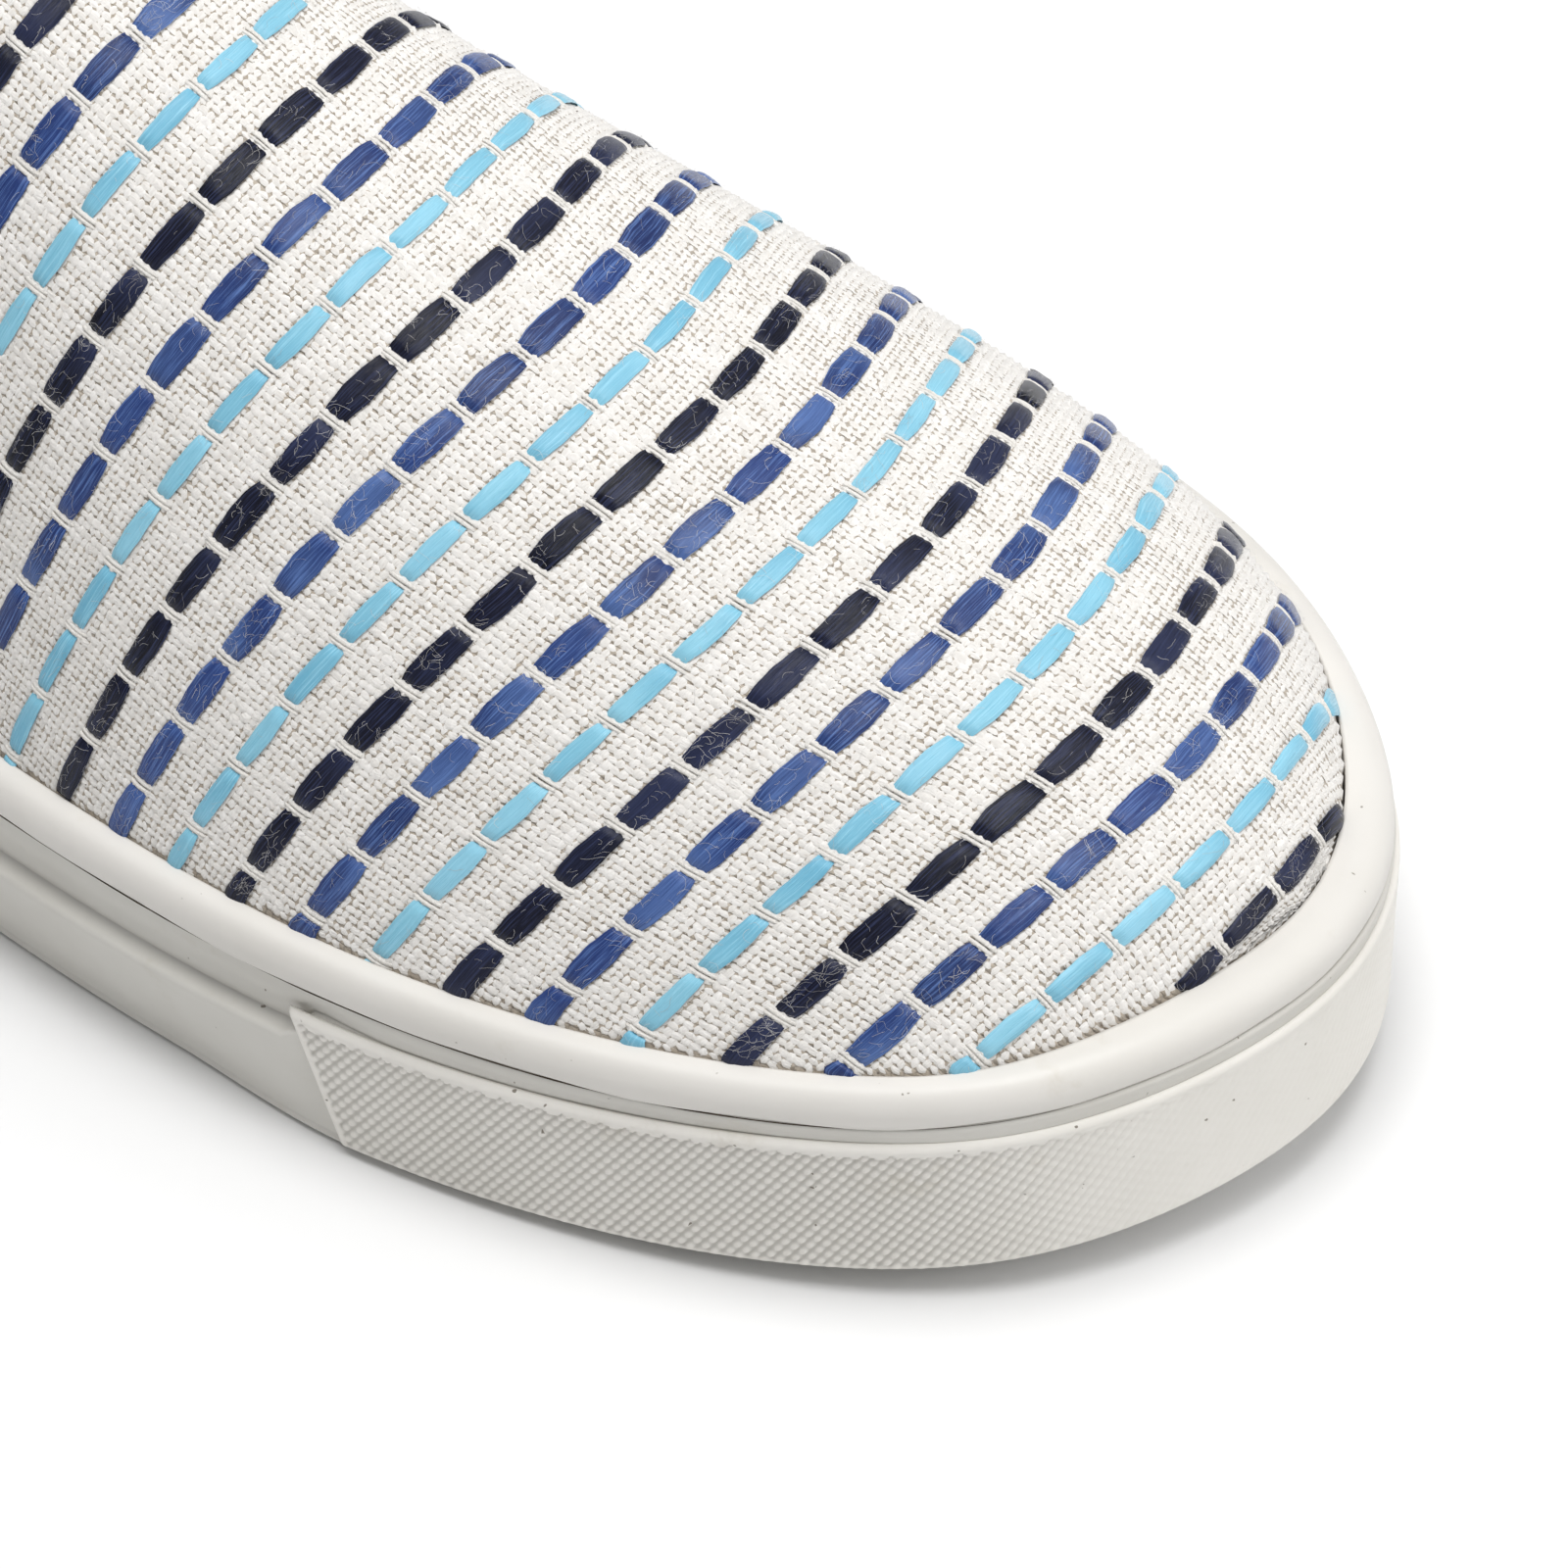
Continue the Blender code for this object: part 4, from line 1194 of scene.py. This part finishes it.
def fuzz(cloth, floats, material):
    """Loose cotton fibres: fine curls over the canvas and, most of all, over the ribbons."""
    hairs = []
    line = topline(HEM)
    fuzzy = RANDOM.gamma(3.0, 1.0, len(floats))
    picks = RANDOM.choice(len(floats), FUZZ_COUNT, p=fuzzy / fuzzy.sum())
    kinds = RANDOM.uniform(0, 1, FUZZ_COUNT)
    arch = np.sin(np.pi * (np.arange(FUZZ_STEPS) + 0.5) / FUZZ_STEPS) ** 2
    for pick, kind in zip(picks, kinds):
        color, u, start, end = floats[pick]
        on_ribbon = kind < FUZZ_ON_RIBBON
        if u > FUZZ_FRONT and RANDOM.uniform() < FUZZ_REAR_SPARED:
            continue
        if on_ribbon and color == "light" and RANDOM.uniform() < FUZZ_LIGHT_SPARED:
            continue
        reach, base = FUZZ_PLACE[int(on_ribbon)]
        u += RANDOM.uniform(-reach, reach)
        v = RANDOM.uniform(start - FUZZ_OVER, end + FUZZ_OVER)
        bend = RANDOM.normal(0.0, FUZZ_BEND)
        turn = RANDOM.uniform(0, 2 * np.pi) + np.cumsum(RANDOM.normal(0.0, FUZZ_CURL, FUZZ_STEPS) + bend)
        pace = RANDOM.uniform(*FUZZ_PACE)
        us, vs = u + np.cumsum(np.cos(turn)) * pace, v + np.cumsum(np.sin(turn)) * pace
        low, high = cloth.feet(u)
        if vs.min() < low + FUZZ_MARGIN or vs.max() > high - FUZZ_MARGIN:
            continue
        p, n = cloth.at(us, vs)
        if above_topline(p, line).max() > 0:
            continue
        lift = base + RANDOM.uniform(*FUZZ_RISE) * arch
        hairs.append((p + n * lift[:, None], n, RANDOM.uniform(*FUZZ_HALF_WIDTH)))
    paths, normals, widths = (np.array(parts) for parts in zip(*hairs))
    side = unit(np.cross(np.gradient(paths, axis=1), normals)) * widths[:, None, None]
    points = np.stack([paths - side, paths + side], axis=2).reshape(-1, 3)
    faces = repeat_faces(band_faces(FUZZ_STEPS, 2), 2 * FUZZ_STEPS, len(paths))
    return add_mesh("cotton_fuzz", points, faces, material)


# The collar's hem, its stitches and the heel seam
COLLAR_MIDDLE = 0.30
THROAT_JUMP = 4.0
HEM_ACROSS = 60
HEM_STEP = 0.8
HEM_SMOOTH = 12
HEM_SIDES = 14
HEM_WIDE = 1.35
HEM_TALL = 1.5
HEM_WEAVE = 1.4
HEEL_SEAM_WIDTH = 2.4
HEEL_SEAM_FLAT = 0.55
HEEL_SEAM_SIDES = 10
STITCH_DROP = 4.0
STITCH_STEP = 0.55
STITCH_SMOOTH = 8
STITCH_EVERY = 6
STITCH_SIDES = 6
STITCH_FLAT = 0.9
STITCH_LIFT = np.array([-0.15, 0.12, 0.2, 0.12, -0.15])
STITCH_RADII = (0.2, 0.3, 0.32, 0.3, 0.2)
STITCH_SEEDS = 99
NEAR_STEP = 7


def collar_loop(surface, line, spacing, smooth):
    """The closed line where a surface meets the topline, evenly spaced and smoothed."""
    surface = surface[:, SKIRT_STEPS:-SKIRT_STEPS]
    inside = above_topline(surface, line)
    points = []
    for a, p in ((inside, surface), (inside.T, surface.transpose(1, 0, 2))):
        for i, j in np.argwhere((a[:-1] < 0) != (a[1:] < 0)):
            step = a[i, j] - a[i + 1, j]
            share = 0.5 if abs(step) > THROAT_JUMP else a[i, j] / step
            points.append(p[i, j] * (1 - share) + p[i + 1, j] * share)
    points = np.array(points)
    angle = np.arctan2(points[:, 1] - np.mean(points[:, 1]), points[:, 0] - COLLAR_MIDDLE * LENGTH)
    points = points[np.argsort(angle)]
    closed = np.vstack([points, points[:1]])
    run = run_length(closed)
    loop = columns_at(np.linspace(0.0, run[-1], int(run[-1] / spacing) + 1)[:-1], run, closed)
    for _ in range(smooth):
        loop = (np.roll(loop, 1, axis=0) + 2 * loop + np.roll(loop, -1, axis=0)) / 4.0
    return loop


def topline_hem(material):
    """The rolled edge of the collar: a soft round tube over the cut edge of the wall."""
    loop = collar_loop(last_surface(UPPER_WALL / 2, HEM_ACROSS), topline(0.0), HEM_STEP, HEM_SMOOTH)
    count = len(loop)
    ahead = unit(np.roll(loop, -1, axis=0) - np.roll(loop, 1, axis=0))
    outward = unit(np.cross(ahead, np.array([0.0, 0.0, 1.0])))
    up = np.cross(outward, ahead)
    turn = turns(HEM_SIDES)
    wide, tall = np.cos(turn)[:, None] * HEM_WIDE, np.sin(turn)[:, None] * HEM_TALL
    points = (loop[:, None] + (outward[:, None] * wide + up[:, None] * tall)).reshape(-1, 3)
    faces = band_faces(count, HEM_SIDES, closed=True, looped=True)
    uv = np.stack([np.repeat(HEM_STEP * np.arange(count), HEM_SIDES), np.tile(turn * HEM_WEAVE, count)], -1)
    return add_mesh("topline_hem", points, faces, material, uv=uv)


def heel_seam(skin, material):
    """A plain narrow fold down the middle of the heel, where the two quarters meet."""
    line = skin[0, SKIRT_STEPS : skin.shape[1] // 2 + 1]
    line = line[above_topline(line, topline(HEM)) < 0]
    normal = np.tile([-1.0, 0.0, 0.0], (1, len(line), 1))
    radii = np.full((1, len(line)), HEEL_SEAM_WIDTH / 2)
    shape = HEEL_SEAM_FLAT, HEEL_SEAM_SIDES
    return tubes_mesh("heel_seam", line[None], normal, radii, *shape, material, np.zeros(1))


def topline_stitches(cloth, skin, material):
    """One row of stitches that holds the hem, a little under the edge."""
    loop = collar_loop(skin, topline(STITCH_DROP), STITCH_STEP, STITCH_SMOOTH)
    grid = cloth.grid.reshape(-1, 6)[::NEAR_STEP]
    near = [((grid[:, :3] - point) ** 2).sum(axis=1).argmin() for point in loop]
    outward = grid[near, 3:]
    count = len(loop) // STITCH_EVERY
    index = STITCH_EVERY * np.arange(count)[:, None] + np.arange(len(STITCH_LIFT))
    normals = outward[index]
    paths = loop[index] + normals * STITCH_LIFT[:, None]
    radii, seeds = np.tile(STITCH_RADII, (count, 1)), RANDOM.uniform(0, STITCH_SEEDS, count)
    return tubes_mesh("topline_stitches", paths, normals, radii, STITCH_FLAT, STITCH_SIDES, material, seeds)


# The photo's view, fitted to the sole's and the upper's edges: degrees, metres, and millimetres of the lens
VIEW_TURN = 33.41
VIEW_TILT = 47.07
VIEW_TARGET = Vector((0.07288, 0.01093, 0.0))
VIEW_DISTANCE = 0.8
VIEW_SENSOR = 36.0
VIEW_LENS = 198.97
VIEW_CLIP = (0.01, 50.0)
WORLD_STRENGTH = 0.31
# name, place, size, power
LIGHTS = (
    ("back", (-0.35, 0.66, 0.95), 0.9, 1.6),
    ("key", (1.00, 0.25, 0.80), 0.9, 5.6),
    ("top", (0.12, -0.08, 1.4), 0.8, 15.6),
)


def add_aimed(name, data, place, direction):
    made = add_object(name, data)
    made.location = place
    made.rotation_mode = "QUATERNION"
    made.rotation_quaternion = direction.to_track_quat("-Z", "Y")
    return made


def camera_and_lights():
    turn, tilt = math.radians(VIEW_TURN), math.radians(VIEW_TILT)
    away = Vector((-math.sin(turn), math.cos(turn), 0.0))
    back = -away * math.cos(tilt) + Vector((0.0, 0.0, 1.0)) * math.sin(tilt)
    data = bpy.data.cameras.new("photo_view")
    data.sensor_width = VIEW_SENSOR
    data.lens = VIEW_LENS
    data.clip_start, data.clip_end = VIEW_CLIP
    scene = bpy.context.scene
    scene.camera = add_aimed("photo_view", data, VIEW_TARGET + back * VIEW_DISTANCE, -back)
    scene.world = bpy.data.worlds.new("studio")
    scene.world.use_nodes = True
    background = scene.world.node_tree.nodes["Background"]
    background.inputs["Color"].default_value = (1.0, 1.0, 1.0, 1.0)
    background.inputs["Strength"].default_value = WORLD_STRENGTH
    for name, place, size, power in LIGHTS:
        lamp = bpy.data.lights.new(name, "AREA")
        lamp.size = size
        lamp.energy = power
        add_aimed(name, lamp, place, VIEW_TARGET - Vector(place))
    scene.view_settings.view_transform = "Standard"


FLOOR_REACH = 6.0
FLOOR_HEIGHT = -0.0002


def floor():
    n = Nodes("pale_floor")
    color = n.mix(n.noise(n.position(), 3.0), (0.80, 0.80, 0.80, 1.0), (0.82, 0.82, 0.82, 1.0))
    mesh = bpy.data.meshes.new("floor")
    corners = [(x * FLOOR_REACH, y * FLOOR_REACH, 0) for x, y in ((-1, -1), (1, -1), (1, 1), (-1, 1))]
    mesh.from_pydata(corners, [], [(0, 1, 2, 3)])
    mesh.materials.append(n.finish(color, 0.8, Specular_IOR_Level=0.1))
    made = add_object("floor", mesh)
    made.location = (0.0, 0.0, FLOOR_HEIGHT)


def main():
    lining = plain_cloth_material("lining_cotton", rgb(232, 226, 214), rgb(206, 198, 184), 0.5, 0.0001)
    footbed = plain_cloth_material("footbed_cotton", rgb(222, 214, 200), rgb(188, 178, 162), 0.6, 0.00012)
    hem = plain_cloth_material("hem_canvas", rgb(240, 236, 229), rgb(200, 190, 176), 0.7, 0.00025)
    yarn = yarn_material("white_yarn", rgb(246, 244, 240), rgb(222, 217, 209))
    cream = rubber_material("rand_rubber_cream", rgb(217, 214, 209), rgb(211, 208, 202), 0.42, 0.7, 0.00003)
    white = rubber_material("outsole_rubber_white", rgb(210, 208, 202), rgb(201, 198, 191), 0.5, 0.8, 0.00004)
    tones = rgb(232, 229, 223), rgb(224, 221, 214)
    knurled = rubber_material("bumper_rubber_white", *tones, 0.5, 0.8, 0.00003, groove_shade=True)
    pieces = [
        (outsole(white), "outsole_rubber"),
        (rand(cream), "rand_rubber"),
        (toe_bumper(knurled), "outsole_rubber"),
        (insole(footbed), "insole_fabric"),
        (seam_line(gap_shadow_material()), "outsole_rubber"),
    ]
    shell, cloth, skin = upper_shell(canvas_material(), lining)
    floats, ties = float_places(cloth)
    woven = [shell]
    for way, name in enumerate(("cotton_warp", "cotton_weft")):
        woven.append(yarn_lengths(cloth, yarn_way_material(name, way), way))
    woven += ribbons(cloth, floats)
    woven += [tie_yarns(cloth, ties, yarn), fuzz(cloth, floats, fuzz_material())]
    woven += [topline_hem(hem), heel_seam(skin, hem), topline_stitches(cloth, skin, yarn)]
    for made, slot in pieces + [(made, "canvas") for made in woven]:
        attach(made, "root")
    floor()
    camera_and_lights()


main()
